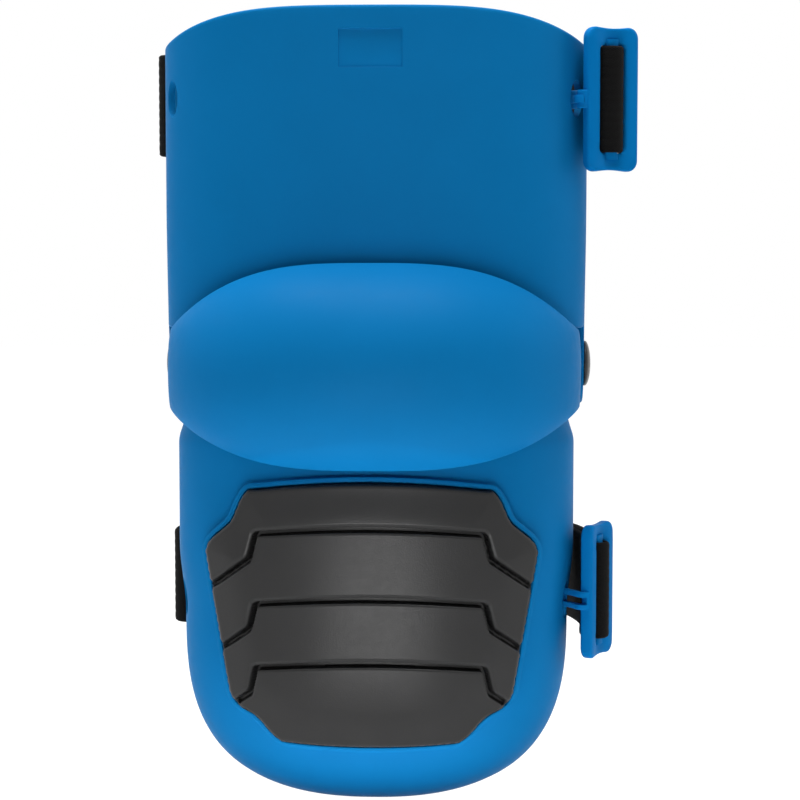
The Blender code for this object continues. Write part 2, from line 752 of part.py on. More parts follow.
def buckle_frame(turn, pivot, corner):
    """Return a function that takes a plan point, counted from a buckle's front corner, to its place."""
    def place(x, y):
        across = Vector((cos(turn), sin(turn)))
        back = Vector((-sin(turn), cos(turn)))
        spot = Vector(pivot) + across * (corner[0] + x) + back * (corner[1] + y)
        return spot.x, spot.y
    return place


def hook_route(corner):
    """Return the plan route of a buckle's hook, from the frame's side through the pivot to the tip."""
    root = [Vector(spot) for spot in BUCKLE_HOOK_ROOT]
    pivot = -Vector(corner)
    middle = 0.5 * (root[-1] + pivot) + Vector((BUCKLE_HOOK_LEAN, 0.0))
    return [*root, middle, pivot, pivot + Vector(BUCKLE_HOOK_TIP)]


def build_buckle(name, turn, pivot, corner, level, strap_width, rise=0.0):
    """Build a buckle: a frame with a bar for the webbing, and a double-arm hook set lower by a rise."""
    place = buckle_frame(turn, pivot, corner)
    middle_back = 0.5 * BUCKLE_THICKNESS
    window = strap_width + BUCKLE_WINDOW_PLAY
    frame_loops = [
        rounded_rectangle(BUCKLE_WIDTH, window + 2.0 * BUCKLE_RAIL, BUCKLE_CORNER),
        rounded_rectangle(BUCKLE_WINDOW_WIDTH, window, 1.0, 1)[::-1],
    ]
    curve = outline_curve(name, frame_loops, 0.5 * BUCKLE_THICKNESS, BUCKLE_EDGE)
    holder = bpy.data.objects.new(name + "_outline", curve)
    mesh = bpy.data.meshes.new_from_object(holder)
    bpy.data.objects.remove(holder)
    form = bmesh.new()
    form.from_mesh(mesh)
    for vert in form.verts:
        x, y = place(vert.co.x / MM + 0.5 * BUCKLE_WIDTH, vert.co.z / MM + middle_back)
        vert.co = Vector((x - pivot[0], y - pivot[1], vert.co.y / MM + rise)) * MM
    buckle = keep(name, finish_mesh(name, form), BLUE)
    buckle.location = (pivot[0] * MM, pivot[1] * MM, level * MM)

    def own(points):
        return [(place(x, y)[0] - pivot[0], place(x, y)[1] - pivot[1]) for x, y in points]

    def helper(suffix, loop, half_height, shift=0.0):
        piece = bpy.data.objects.new(name + suffix, outline_curve(name + suffix, [loop], half_height))
        flat = bpy.data.meshes.new_from_object(piece)
        bpy.data.objects.remove(piece)
        solid = bmesh.new()
        solid.from_mesh(flat)
        cutter = keep_cutter(name + suffix, finish_mesh(name + suffix, solid))
        cutter.location = buckle.location + Vector((0.0, 0.0, shift * MM))
        return cutter

    bar_x = 0.5 * BUCKLE_WIDTH
    bar = rounded_rectangle(BUCKLE_BAR_WIDTH, BUCKLE_BAR_THICKNESS, 0.8, 2)
    bar = own([(x + bar_x, y + middle_back) for x, y in bar])
    boolean(buckle, helper("_bar", bar, 0.5 * window + 2.0, rise), "UNION")
    path = smooth_path(own(hook_route(corner)), 3)
    arm = ribbon_outline(path, BUCKLE_ARM_THICKNESS)
    boolean(buckle, helper("_arm", arm, 0.5 * BUCKLE_ARM_HEIGHT), "UNION")
    pocket = ribbon_outline(path[3:9], BUCKLE_ARM_THICKNESS + 3.0)
    boolean(buckle, helper("_pocket", pocket, 0.5 * BUCKLE_POCKET_HEIGHT), "DIFFERENCE")
    return place


def build_strap(name, walls, slot_depth, shift, place, level, width, stand):
    """Build a strap: looped through the left slot, round the leg and round the buckle bar."""
    wall_out, wall_in = walls
    inside = -(wall_in - GAP - 0.5 * STRAP_THICKNESS)
    outside = -(wall_out + stand)
    middle = 0.5 * (inside + outside)
    radius = 0.5 * (inside - outside)
    bend = slot_depth + radius - 0.7
    bar_x = 0.5 * BUCKLE_WIDTH
    bar_y = 0.5 * BUCKLE_THICKNESS
    fold = [(middle + radius * cos(a), bend - radius * sin(a)) for a in (0.0, 0.52, 1.05, 1.57, 2.09, 2.62, pi)]
    left = [(inside, STRAP_END + shift), (inside, bend + 2.0)] + fold
    left += [(outside, bend + 2.0), (outside + 0.5, 17.0 + shift)]
    left += [(-wall_out - across, y + shift) for across, y in STRAP_SIDE[2:]]
    right = [(wall_out + across, y + shift) for across, y in STRAP_SIDE[::-1]]
    wrap = [place(bar_x + x, bar_y + y) for x, y in STRAP_WRAP]
    back = [(wall_out + across, y + shift) for across, y in STRAP_RETURN]
    route = left + [(0.0, STRAP_BACK + shift)] + right + wrap + back
    outline = ribbon_outline(smooth_path(route, 4), STRAP_THICKNESS)
    strap = keep(name, outline_curve(name, [outline], 0.5 * width), WEBBING)
    strap.location = (0.0, 0.0, level * MM)
    under = smooth_path(right[::-1], 4)[8:14]
    over = smooth_path(back, 4)[8:14]
    path = [0.5 * (first + second) for first, second in zip(under, over)]
    tab = keep(name + "_tab", outline_curve(name + "_tab", [ribbon_outline(path, 0.6)], 16.0), HOOK_TAPE)
    tab.location = strap.location


def pad_rim(u, v):
    """Return a cushion's fullness at a spot: drawn in at its edges and along two sewn channels."""
    across = 2.0 * u - 1.0
    along = 2.0 * v - 1.0
    full = 0.38 + 0.62 * (1.0 - across ** 8) * (1.0 - along ** 8)
    for channel in (-0.36, 0.36):
        full *= 1.0 - 0.4 * max(0.0, 1.0 - abs(across - channel) / 0.07)
    return full


def build_liner(name, section, reach, low, high, thickness, corner):
    """Build a foam pad behind a shell and the knit lining on its leg side."""
    channel_columns = [-1.0, -0.94, -0.8, -0.62, -0.46, -0.36, -0.26, -0.1, 0.1, 0.26, 0.36, 0.46, 0.62, 0.8, 0.94, 1.0]
    back = WALL + LINER_GAP

    def spot(u, v):
        index = u * (len(channel_columns) - 1)
        lower = min(int(index + 0.0001), len(channel_columns) - 2)
        across = mix(channel_columns[lower], channel_columns[lower + 1], index - lower)
        along = 2.0 * (0.5 - 0.5 * cos(pi * v)) - 1.0
        side = reach * across * (1.0 - corner * along ** 6)
        z = mix(low, high, 0.5 + 0.5 * along * (1.0 - corner * across ** 6))
        return 0.5 + 0.5 * across, 0.5 + 0.5 * along, side, z

    def foam(u, v, layer):
        across, along, side, z = spot(u, v)
        inset = back + layer * thickness * pad_rim(across, along)
        x, y = section(side, z, inset)
        return x, y, z

    def knit(u, v, layer):
        across, along, side, z = spot(u, v)
        inset = back + thickness * pad_rim(across, along) + 0.5 + layer * LINING_THICKNESS
        x, y = section(side, z, inset)
        return x, y, z

    columns = len(channel_columns) - 1
    keep(name + "_pad", mapped_slab(name + "_pad", columns, 8, foam), FOAM)
    keep(name + "_lining", mapped_slab(name + "_lining", columns, 8, knit), KNIT)


def build_patches(name, section, sides, level):
    """Build the hook-and-loop patches between a shell and its foam pad."""
    for number, middle in enumerate(sides):
        def place(u, v, layer, middle=middle):
            side = middle + 0.13 * (u - 0.5)
            z = level + 26.0 * (v - 0.5)
            x, y = section(side, z, WALL + 0.35 + layer * PATCH_THICKNESS)
            return x, y, z
        label = name + "_patch_" + ("left", "right")[number]
        keep(label, mapped_slab(label, 4, 1, place), HOOK_TAPE)


def build_knee_liner():
    """Build the foam cushion inside the knee cap and its lining."""
    def spot(u, v):
        across = 2.0 * u - 1.0
        along = 2.0 * v - 1.0
        return across, along, 0.42 * across * (1.0 - 0.12 * along ** 6), 0.60 * along * (1.0 - 0.12 * across ** 6)

    def full(across, along):
        return 0.35 + 0.65 * (1.0 - across ** 8) * (1.0 - along ** 8)

    def foam(u, v, layer):
        across, along, side, up = spot(u, v)
        return cap_point(side, up, WALL + 2.4 + layer * 10.0 * full(across, along))

    def knit(u, v, layer):
        across, along, side, up = spot(u, v)
        return cap_point(side, up, WALL + 2.8 + 10.0 * full(across, along) + layer * LINING_THICKNESS)

    keep("knee_cushion", mapped_slab("knee_cushion", 12, 8, foam), FOAM)
    keep("knee_lining", mapped_slab("knee_lining", 12, 8, knit), KNIT)


def build():
    """Build every piece of the knee pad."""
    build_thigh_shell()
    build_shin_shell()
    build_tread()
    build_knee_cap()
    build_hinge()
    upper = build_buckle(
        "upper_buckle", THIGH_BUCKLE_TURN, THIGH_BUCKLE_PIVOT, THIGH_BUCKLE_CORNER,
        THIGH_STRAP_LEVEL, THIGH_STRAP_WIDTH,
    )
    lower = build_buckle(
        "lower_buckle", SHIN_BUCKLE_TURN, SHIN_BUCKLE_PIVOT, SHIN_BUCKLE_CORNER,
        SHIN_STRAP_LEVEL - SHIN_BUCKLE_RISE, SHIN_STRAP_WIDTH, SHIN_BUCKLE_RISE,
    )
    walls = (THIGH_HALF_WIDTH_HIGH, THIGH_HALF_WIDTH_HIGH - WALL)
    level = THIGH_STRAP_LEVEL
    build_strap("upper_strap", walls, THIGH_SLOT_DEPTH, 0.0, upper, level, THIGH_STRAP_WIDTH, THIGH_STRAP_STAND)
    walls = (SHIN_HALF_WIDTH, SHIN_HALF_WIDTH - WALL - 2.8)
    level = SHIN_STRAP_LEVEL
    build_strap("lower_strap", walls, SHIN_SLOT_DEPTH, -4.0, lower, level, SHIN_STRAP_WIDTH, SHIN_STRAP_STAND)
    build_liner("thigh", thigh_section, 0.57, 26.0, 117.0, 9.0, 0.06)
    build_liner("shin", shin_level, 0.58, -136.0, -22.0, 11.0, 0.08)
    build_patches("thigh", thigh_section, (-0.24, 0.24), 75.0)
    build_patches("shin", shin_level, (-0.24, 0.24), -76.0)
    build_knee_liner()


build()
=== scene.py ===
"""Knee pad upright in a plain pale studio: fine surfaces, finishes, light and camera.

Forms are written in millimetres and become metres when a mesh is made.  +X is to the right, +Y goes
back to the leg and +Z is up; the origin is the middle of the rivet axis.
"""

import json
import logging
from dataclasses import dataclass, field
from enum import Enum
from math import atan, cos, pi, radians, sin
from typing import Callable, Sequence

import bmesh
import bpy
import numpy as np
from mathutils import Matrix, Vector

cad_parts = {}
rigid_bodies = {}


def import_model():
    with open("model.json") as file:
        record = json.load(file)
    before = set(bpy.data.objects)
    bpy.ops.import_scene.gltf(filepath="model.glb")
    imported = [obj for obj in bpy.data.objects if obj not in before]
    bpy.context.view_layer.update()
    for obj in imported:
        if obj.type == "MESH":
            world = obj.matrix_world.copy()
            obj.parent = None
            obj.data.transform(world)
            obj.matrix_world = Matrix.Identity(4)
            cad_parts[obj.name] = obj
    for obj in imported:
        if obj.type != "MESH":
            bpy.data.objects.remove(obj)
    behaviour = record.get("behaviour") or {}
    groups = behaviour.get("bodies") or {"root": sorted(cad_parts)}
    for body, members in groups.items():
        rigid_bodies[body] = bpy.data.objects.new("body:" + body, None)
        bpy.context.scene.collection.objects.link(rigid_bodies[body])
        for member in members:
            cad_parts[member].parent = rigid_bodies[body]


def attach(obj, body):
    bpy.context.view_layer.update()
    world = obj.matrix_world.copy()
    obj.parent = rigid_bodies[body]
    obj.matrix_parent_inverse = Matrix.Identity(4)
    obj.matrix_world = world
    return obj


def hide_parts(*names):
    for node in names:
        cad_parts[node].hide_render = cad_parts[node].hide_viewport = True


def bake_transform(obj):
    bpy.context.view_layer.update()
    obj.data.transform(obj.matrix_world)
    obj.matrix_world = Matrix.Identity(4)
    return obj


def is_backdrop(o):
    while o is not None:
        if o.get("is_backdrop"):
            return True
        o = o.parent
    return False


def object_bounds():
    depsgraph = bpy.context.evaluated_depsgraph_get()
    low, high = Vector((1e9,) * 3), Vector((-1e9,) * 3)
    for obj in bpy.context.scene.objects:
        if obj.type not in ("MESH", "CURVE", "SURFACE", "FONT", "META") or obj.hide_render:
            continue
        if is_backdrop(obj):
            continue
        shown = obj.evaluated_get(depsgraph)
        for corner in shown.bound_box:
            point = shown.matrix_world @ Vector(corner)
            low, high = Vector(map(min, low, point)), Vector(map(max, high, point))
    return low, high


LOG = logging.getLogger("knee_pad")
MM = 0.001
WELD_DISTANCE = 2e-6
EMPTY_EDGE = 1e-6
FAR = 1e9
WHITE = (1.0, 1.0, 1.0, 1.0)
BLACK = (0.0, 0.0, 0.0, 1.0)

SHELL_WALL = 2.6
SHELL_RIM = 0.8
RIVET_HOLE_X = 72.0
STRAP_SLOT = (16.0, 5.0)
STRAP_SLOT_EDGE = 1.4

Array = np.ndarray
Colour = tuple[float, float, float]
Point = tuple[float, float]
Spot = tuple[float, float, float]
Face = tuple[int, ...]
Mesh = bpy.types.Mesh
Material = bpy.types.Material
Socket = bpy.types.NodeSocket
Thing = bpy.types.Object


class Body(Enum):
    """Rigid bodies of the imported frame."""

    SHIN = "shin"
    THIGH = "thigh"
    KNEECAP = "kneecap"
    UPPER_BUCKLE = "upper_buckle"
    LOWER_BUCKLE = "lower_buckle"


class Slot(Enum):
    """Material slots of the record."""

    SHELL = "shell_blue"
    BUCKLE = "buckle_blue"
    TREAD = "tread_rubber"
    RIVET = "rivet_black"
    WASHER = "washer_steel"
    WEBBING = "webbing"
    TAPE = "hook_tape"
    FOAM = "foam"
    KNIT = "knit"


class Side(Enum):
    """Left and right as signs along X."""

    LEFT = -1
    RIGHT = 1


class Carve(Enum):
    """What a helper solid does to a piece."""

    CUT = "DIFFERENCE"
    JOIN = "UNION"


def mix(first: Array, second: Array, share: Array) -> Array:
    """Blend two values: the first at a share of 0, the second at 1."""
    return first + (second - first) * share


def ease(start: float, end: float, value: Array) -> Array:
    """Rise smoothly from 0 at the start value to 1 at the end value."""
    share = np.clip((np.asarray(value, float) - start) / (end - start), 0.0, 1.0)
    return share * share * (3.0 - 2.0 * share)


def unit(vectors: Array) -> Array:
    """Scale vectors, which lie along the last axis, to length 1."""
    length = np.linalg.norm(vectors, axis=-1, keepdims=True)
    return vectors / np.maximum(length, 1e-12)


def squared(wave: Array, power: float) -> Array:
    """Raise a sine or cosine to a power with its sign kept, which squares up a round section."""
    return np.sign(wave) * np.abs(wave) ** power


def tangents(path: Array) -> Array:
    """Return the unit directions of a path or a line of points."""
    return unit(np.gradient(path, axis=0))


def left_of(ways: Array) -> Array:
    """Turn plan directions a quarter turn to the left."""
    return np.stack([-ways[:, 1], ways[:, 0]], axis=1)


def run_length(path: Array) -> Array:
    """Return the distance along a path at each of its points."""
    return np.concatenate([[0.0], np.cumsum(np.hypot(*np.diff(path, axis=0).T))])


def read_path(values: Array, run: Array, at: Array) -> Array:
    """Return a path's points, or directions, at given distances along it."""
    return np.stack([np.interp(at, run, values[:, k]) for k in range(2)], axis=1)


def with_heights(plan: Array, heights: Array) -> Array:
    """Add heights to plan points as their third component."""
    level = np.broadcast_to(heights, plan.shape[:-1])
    return np.concatenate([plan, level[..., None]], axis=-1)


class Nodes:
    """Small helper that lays out the nodes of a tree."""

    def __init__(self, tree: bpy.types.NodeTree) -> None:
        """Start on the tree's own nodes."""
        self.nodes = tree.nodes
        self.links = tree.links

    def feed(self, socket: Socket, value: object) -> None:
        """Link or set one input.

        Args:
            socket: The input.
            value: An output socket or a plain value.
        """
        if isinstance(value, Socket):
            self.links.new(value, socket)
        else:
            socket.default_value = value

    def feed_all(self, node: bpy.types.Node, sockets: dict[str, object]) -> bpy.types.Node:
        """Link or set several inputs of a node.

        Args:
            node: The node.
            sockets: Output sockets or values, by input name with underscores for spaces.

        Returns:
            The same node.
        """
        for key, value in sockets.items():
            self.feed(node.inputs[key.replace("_", " ")], value)
        return node

    def node(self, kind: str, **sockets: object) -> bpy.types.Node:
        """Add a node of a type and set its inputs, named as in feed_all."""
        return self.feed_all(self.nodes.new(kind), sockets)

    def math(self, operation: str, first: object, second: object = 0.0) -> Socket:
        """Combine two values.

        Args:
            operation: Name of the math operation.
            first: First value or socket.
            second: Second value or socket.

        Returns:
            The result socket.
        """
        made = self.nodes.new("ShaderNodeMath")
        made.operation = operation
        self.feed(made.inputs[0], first)
        self.feed(made.inputs[1], second)
        return made.outputs["Value"]


class Shading(Nodes):
    """Lays out the nodes of a material or of the world."""

    def __init__(self, owner: Material | bpy.types.World) -> None:
        """Start on the owner's own nodes.

        Args:
            owner: The material or the world.
        """
        owner.use_nodes = True
        super().__init__(owner.node_tree)
        self.owner = owner
        self.space = self.node("ShaderNodeTexCoord").outputs

    def surface(self, **sockets: object) -> Material:
        """Set the main shader's inputs, named as in feed_all, and return the material."""
        self.feed_all(self.nodes["Principled BSDF"], sockets)
        return self.owner

    def noise(self, scale: float, detail: float) -> Socket:
        """Return noise in object space, of a scale and a count of octaves."""
        made = self.node("ShaderNodeTexNoise", Vector=self.space["Object"], Scale=scale, Detail=detail)
        return made.outputs["Fac"]

    def ramp(
        self, source: Socket, low: float, high: float, out_low: float = 0.0, out_high: float = 1.0
    ) -> Socket:
        """Map one range of values to another, by default to 0 and 1."""
        ends = {"From_Min": low, "From_Max": high, "To_Min": out_low, "To_Max": out_high}
        return self.node("ShaderNodeMapRange", Value=source, **ends).outputs["Result"]

    def rough(self, source: Socket, middle: float, less: float, more: float) -> Socket:
        """Vary a roughness with the middle stretch of a noise, by so much less and so much more."""
        return self.ramp(source, 0.3, 0.7, middle - less, middle + more)

    def tint(self, share: Socket, first: Colour, second: Colour) -> Socket:
        """Blend two colours.

        Args:
            share: Where between the two.
            first: Colour at 0.
            second: Colour at 1.

        Returns:
            The colour output.
        """
        made = self.nodes.new("ShaderNodeMix")
        made.data_type = "RGBA"
        self.feed(made.inputs["Factor"], share)
        self.feed(made.inputs[6], (*first, 1.0))
        self.feed(made.inputs[7], (*second, 1.0))
        return made.outputs[2]

    def bump(self, height: Socket, strength: float, distance: float) -> None:
        """Raise the surface by a height, whose value of 1 is a distance in metres."""
        made = self.node("ShaderNodeBump", Height=height, Strength=strength, Distance=distance)
        self.surface(Normal=made.outputs["Normal"])

    def blend(self, share: Socket, first: Socket, second: Socket) -> Socket:
        """Mix two shaders.

        Args:
            share: Where between the two.
            first: Shader at 0.
            second: Shader at 1.

        Returns:
            The shader output.
        """
        made = self.node("ShaderNodeMixShader", Fac=share)
        self.feed(made.inputs[1], first)
        self.feed(made.inputs[2], second)
        return made.outputs["Shader"]

    def seen(self) -> Socket:
        """Return 1 for the rays that show the studio itself: straight, mirrored or through glass.

        Returns:
            The share, 0 or 1.
        """
        rays = self.node("ShaderNodeLightPath").outputs
        straight = self.math("MAXIMUM", rays["Is Camera Ray"], rays["Is Transmission Ray"])
        return self.math("MAXIMUM", straight, rays["Is Glossy Ray"])


@dataclass(frozen=True)
class PlasticFinish:
    """Moulded plastic with a fine skin grain."""

    name: str
    colour: Colour
    second: Colour
    roughness: float = 0.46
    shine: float = 0.02
    index: float = 1.49
    cloud: float = 38.0
    scuff: float = 240.0
    grain: float = 2600.0
    grain_height: float = 0.0001

    def material(self) -> Material:
        """Build the material.

        Returns:
            The material.
        """
        shade = Shading(bpy.data.materials.new(self.name))
        cloud = shade.ramp(shade.noise(self.cloud, 3.0), 0.35, 0.65)
        colour = shade.tint(cloud, self.colour, self.second)
        rough = shade.rough(shade.noise(self.scuff, 4.0), self.roughness, 0.04, 0.05)
        shade.bump(shade.noise(self.grain, 2.0), 0.12, self.grain_height)
        shade.surface(IOR=self.index, Specular_IOR_Level=self.shine)
        return shade.surface(Base_Color=colour, Roughness=rough)


@dataclass(frozen=True)
class RubberFinish:
    """Moulded rubber with a pebbled skin and lighter rubbed patches."""

    name: str
    colour: Colour
    worn: Colour
    roughness: float = 0.33
    shine: float = 0.3
    patch: float = 70.0
    scuff: float = 420.0
    pebble: float = 1700.0
    pebble_height: float = 0.00012

    def material(self) -> Material:
        """Build the material.

        Returns:
            The material.
        """
        shade = Shading(bpy.data.materials.new(self.name))
        patch = shade.ramp(shade.noise(self.patch, 5.0), 0.42, 0.7)
        colour = shade.tint(patch, self.colour, self.worn)
        rough = shade.rough(shade.noise(self.scuff, 3.0), self.roughness, 0.02, 0.03)
        pebble = shade.node("ShaderNodeTexVoronoi", Vector=shade.space["Object"], Scale=self.pebble)
        shade.bump(pebble.outputs["Distance"], 0.16, self.pebble_height)
        return shade.surface(Base_Color=colour, Roughness=rough, Specular_IOR_Level=self.shine)


@dataclass(frozen=True)
class MetalFinish:
    """Plain or coated metal with fine turning marks."""

    name: str
    colour: Colour
    second: Colour
    metallic: float
    roughness: float = 0.32
    cloud: float = 300.0
    scuff: float = 900.0
    grain: float = 1500.0
    grain_height: float = 0.0001

    def material(self) -> Material:
        """Build the material.

        Returns:
            The material.
        """
        shade = Shading(bpy.data.materials.new(self.name))
        colour = shade.tint(shade.noise(self.cloud, 4.0), self.colour, self.second)
        rough = shade.rough(shade.noise(self.scuff, 3.0), self.roughness, 0.06, 0.08)
        shade.bump(shade.noise(self.grain, 2.0), 0.08, self.grain_height)
        return shade.surface(Base_Color=colour, Roughness=rough, Metallic=self.metallic)


@dataclass(frozen=True)
class WeaveFinish:
    """Woven cloth read from UV in millimetres: yarns across and along."""

    name: str
    colour: Colour
    second: Colour
    across: float
    along: float
    roughness: float = 0.85
    sheen: float = 0.05
    shine: float = 0.05
    fuzz: float = 2200.0
    yarn_height: float = 0.00022

    def material(self) -> Material:
        """Build the material.

        Returns:
            The material.
        """
        shade = Shading(bpy.data.materials.new(self.name))
        split = shade.node("ShaderNodeSeparateXYZ", Vector=shade.space["UV"]).outputs
        u = shade.math("SINE", shade.math("MULTIPLY", split["X"], 2.0 * pi / self.along))
        v = shade.math("SINE", shade.math("MULTIPLY", split["Y"], 2.0 * pi / self.across))
        fuzz = shade.noise(self.fuzz, 3.0)
        height = shade.math("ADD", shade.math("MULTIPLY", shade.math("MULTIPLY", u, v), 0.5), fuzz)
        # Colour follows the yarn height: painted shade in the hollows between yarns and painted highlight on
        # their tops; the fuzz noise adds random tone.
        colour = shade.tint(shade.ramp(height, 0.1, 1.0), self.colour, self.second)
        shade.bump(height, 0.55, self.yarn_height)
        rough = shade.rough(fuzz, self.roughness, 0.08, 0.08)
        shade.surface(Base_Color=colour, Roughness=rough)
        return shade.surface(Sheen_Weight=self.sheen, Specular_IOR_Level=self.shine)


@dataclass(frozen=True)
class KnitFinish:
    """Spacer knit read from UV in millimetres: a net of small open cells."""

    name: str
    colour: Colour
    second: Colour
    cell: float = 2.2
    unevenness: float = 0.25
    sheen: float = 0.3
    fuzz: float = 1800.0
    yarn_height: float = 0.0004

    def material(self) -> Material:
        """Build the material.

        Returns:
            The material.
        """
        shade = Shading(bpy.data.materials.new(self.name))
        cells = shade.node("ShaderNodeTexVoronoi", Vector=shade.space["UV"], Scale=1.0 / self.cell)
        shade.feed(cells.inputs["Randomness"], self.unevenness)
        net = shade.ramp(cells.outputs["Distance"], 0.16, 0.5)
        fuzz = shade.noise(self.fuzz, 3.0)
        height = shade.math("ADD", net, shade.math("MULTIPLY", fuzz, 0.4))
        # Colour follows the net: painted shade in the sunken open cells, and the yarns of the net lighter.
        colour = shade.tint(net, self.colour, self.second)
        shade.bump(height, 0.6, self.yarn_height)
        rough = shade.ramp(fuzz, 0.3, 0.7, 0.8, 0.95)
        return shade.surface(Base_Color=colour, Roughness=rough, Sheen_Weight=self.sheen)


@dataclass(frozen=True)
class Finishes:
    """Every finish on the knee pad, made once."""

    shell: Material
    buckle: Material
    tread: Material
    rivet: Material
    washer: Material
    webbing: Material
    thread: Material
    tape: Material
    foam: Material
    knit: Material

    @staticmethod
    def make() -> "Finishes":
        """Build all materials.

        Returns:
            The set of finishes.
        """
        finishes = {
            "shell": PlasticFinish("shell_blue", (0.0026, 0.129, 0.333), (0.0028, 0.133, 0.343)),
            "buckle": PlasticFinish("buckle_blue", (0.0012, 0.135, 0.380), (0.0014, 0.140, 0.392), 0.42),
            "tread": RubberFinish("tread_rubber", (0.0105, 0.0105, 0.0107), (0.0125, 0.0125, 0.0128)),
            "rivet": MetalFinish("rivet_black", (0.006, 0.006, 0.007), (0.014, 0.014, 0.015), 0.3),
            "washer": MetalFinish("washer_steel", (0.42, 0.42, 0.43), (0.5, 0.5, 0.51), 1.0),
            "webbing": WeaveFinish("webbing", (0.0022,) * 3, (0.0075,) * 3, 0.8, 1.1, sheen=0.02),
            "thread": WeaveFinish("thread", (0.006,) * 3, (0.02,) * 3, 0.3, 0.3, 0.7),
            "tape": WeaveFinish("hook_tape", (0.004,) * 3, (0.012,) * 3, 1.3, 1.3, 0.8),
            "foam": WeaveFinish("foam", (0.012, 0.012, 0.013), (0.022, 0.022, 0.024), 0.7, 0.7, 0.92),
            "knit": KnitFinish("knit", (0.005, 0.005, 0.006), (0.02, 0.021, 0.023)),
        }
        return Finishes(**{use: finish.material() for use, finish in finishes.items()})


def link(name: str, data: bpy.types.ID) -> Thing:
    """Put a new object into the scene.

    Args:
        name: Object name.
        data: What it holds.

    Returns:
        The object.
    """
    thing = bpy.data.objects.new(name, data)
    bpy.context.scene.collection.objects.link(thing)
    return thing


def applied_mesh(thing: Thing) -> Mesh:
    """Return an object's shape as a plain mesh, with its modifiers applied."""
    graph = bpy.context.evaluated_depsgraph_get()
    return bpy.data.meshes.new_from_object(thing.evaluated_get(graph))


def take_mesh(name: str, form: bmesh.types.BMesh) -> Mesh:
    """Turn a finished form into a mesh.

    Args:
        name: Mesh name.
        form: The form, which is freed.

    Returns:
        The mesh.
    """
    mesh = bpy.data.meshes.new(name)
    form.to_mesh(mesh)
    form.free()
    return mesh


def make_mesh(name: str, points: Array, faces: Sequence[Face], weld: bool = True) -> Mesh:
    """Make a clean mesh from points in millimetres.

    Args:
        name: Mesh name.
        points: Array of points.
        faces: Corner lists.
        weld: Whether to merge points that meet and drop empty faces.

    Returns:
        The mesh in metres, faces turned outward.
    """
    mesh = bpy.data.meshes.new(name)
    mesh.from_pydata((np.asarray(points).reshape(-1, 3) * MM).tolist(), [], faces)
    form = bmesh.new()
    form.from_mesh(mesh)
    if weld:
        bmesh.ops.remove_doubles(form, verts=form.verts, dist=WELD_DISTANCE)
        bmesh.ops.dissolve_degenerate(form, edges=form.edges, dist=EMPTY_EDGE)
    loose = [vert for vert in form.verts if not vert.link_faces]
    bmesh.ops.delete(form, geom=loose, context="VERTS")
    bmesh.ops.recalc_face_normals(form, faces=form.faces)
    form.to_mesh(mesh)
    form.free()
    return mesh


def smooth(mesh: Mesh, angle: float = 38.0) -> Mesh:
    """Shade a mesh smooth, with edges above an angle kept sharp.

    Args:
        mesh: The mesh.
        angle: Sharp angle in degrees.

    Returns:
        The same mesh.
    """
    mesh.shade_smooth()
    mesh.set_sharp_from_angle(angle=radians(angle))
    return mesh


def grid_faces(rows: int, columns: int, wrap: bool = False, close: bool = False) -> list[Face]:
    """List the quads of a grid.

    Args:
        rows: Rows of points.
        columns: Points in a row.
        wrap: Whether each row closes on itself.
        close: Whether the last row joins the first.

    Returns:
        The quads.
    """
    faces = []
    for row in range(rows if close else rows - 1):
        low = row * columns
        high = (row + 1) % rows * columns
        for column in range(columns if wrap else columns - 1):
            after = (column + 1) % columns
            faces.append((low + column, low + after, high + after, high + column))
    return faces


def tube_faces(rows: int, columns: int) -> list[Face]:
    """List the faces of a tube of rings, with a face over each end."""
    ends = [tuple(range(columns - 1, -1, -1)), tuple(range((rows - 1) * columns, rows * columns))]
    return grid_faces(rows, columns, True) + ends


def coarse_faces(rows: int, columns: int, start: int, stride: int) -> list[Face]:
    """List wide cells over a grid, which keep every point of the grid's border.

    Args:
        rows: Rows of points.
        columns: Points in a row.
        start: Index of the first point.
        stride: Grid steps in a cell.

    Returns:
        The cells.
    """
    faces = []
    row_marks = [*range(0, rows - 1, stride), rows - 1]
    column_marks = [*range(0, columns - 1, stride), columns - 1]
    for low, high in zip(row_marks, row_marks[1:]):
        for left, right in zip(column_marks, column_marks[1:]):
            across = range(left, right)
            along = range(low, high)
            cell = [(low, c) for c in (across if low == 0 else across[:1])]
            cell += [(r, right) for r in (along if right == columns - 1 else along[:1])]
            cell += [(high, c + 1) for c in (across[::-1] if high == rows - 1 else across[-1:])]
            cell += [(r + 1, left) for r in (along[::-1] if left == 0 else along[-1:])]
            faces.append(tuple(start + r * columns + c for r, c in cell))
    return faces


def grid_normals(points: Array, inside: Spot) -> Array:
    """Return a grid's normals, pointing away from a point inside it.

    Args:
        points: Rows by columns by 3.
        inside: A point on the inner side.

    Returns:
        Unit normals of the same shape.
    """
    normals = np.cross(np.gradient(points, axis=1), np.gradient(points, axis=0))
    size = np.linalg.norm(normals, axis=-1)
    weak = size < 1e-6 * size.max()
    normals = unit(normals)
    for row, column in zip(*np.nonzero(weak)):
        near_row = min(max(row, 1), points.shape[0] - 2)
        near_column = min(max(column, 1), points.shape[1] - 2)
        normals[row, column] = normals[near_row, near_column]
    if np.sum(normals * (points - np.array(inside))) < 0.0:
        normals = -normals
    return normals


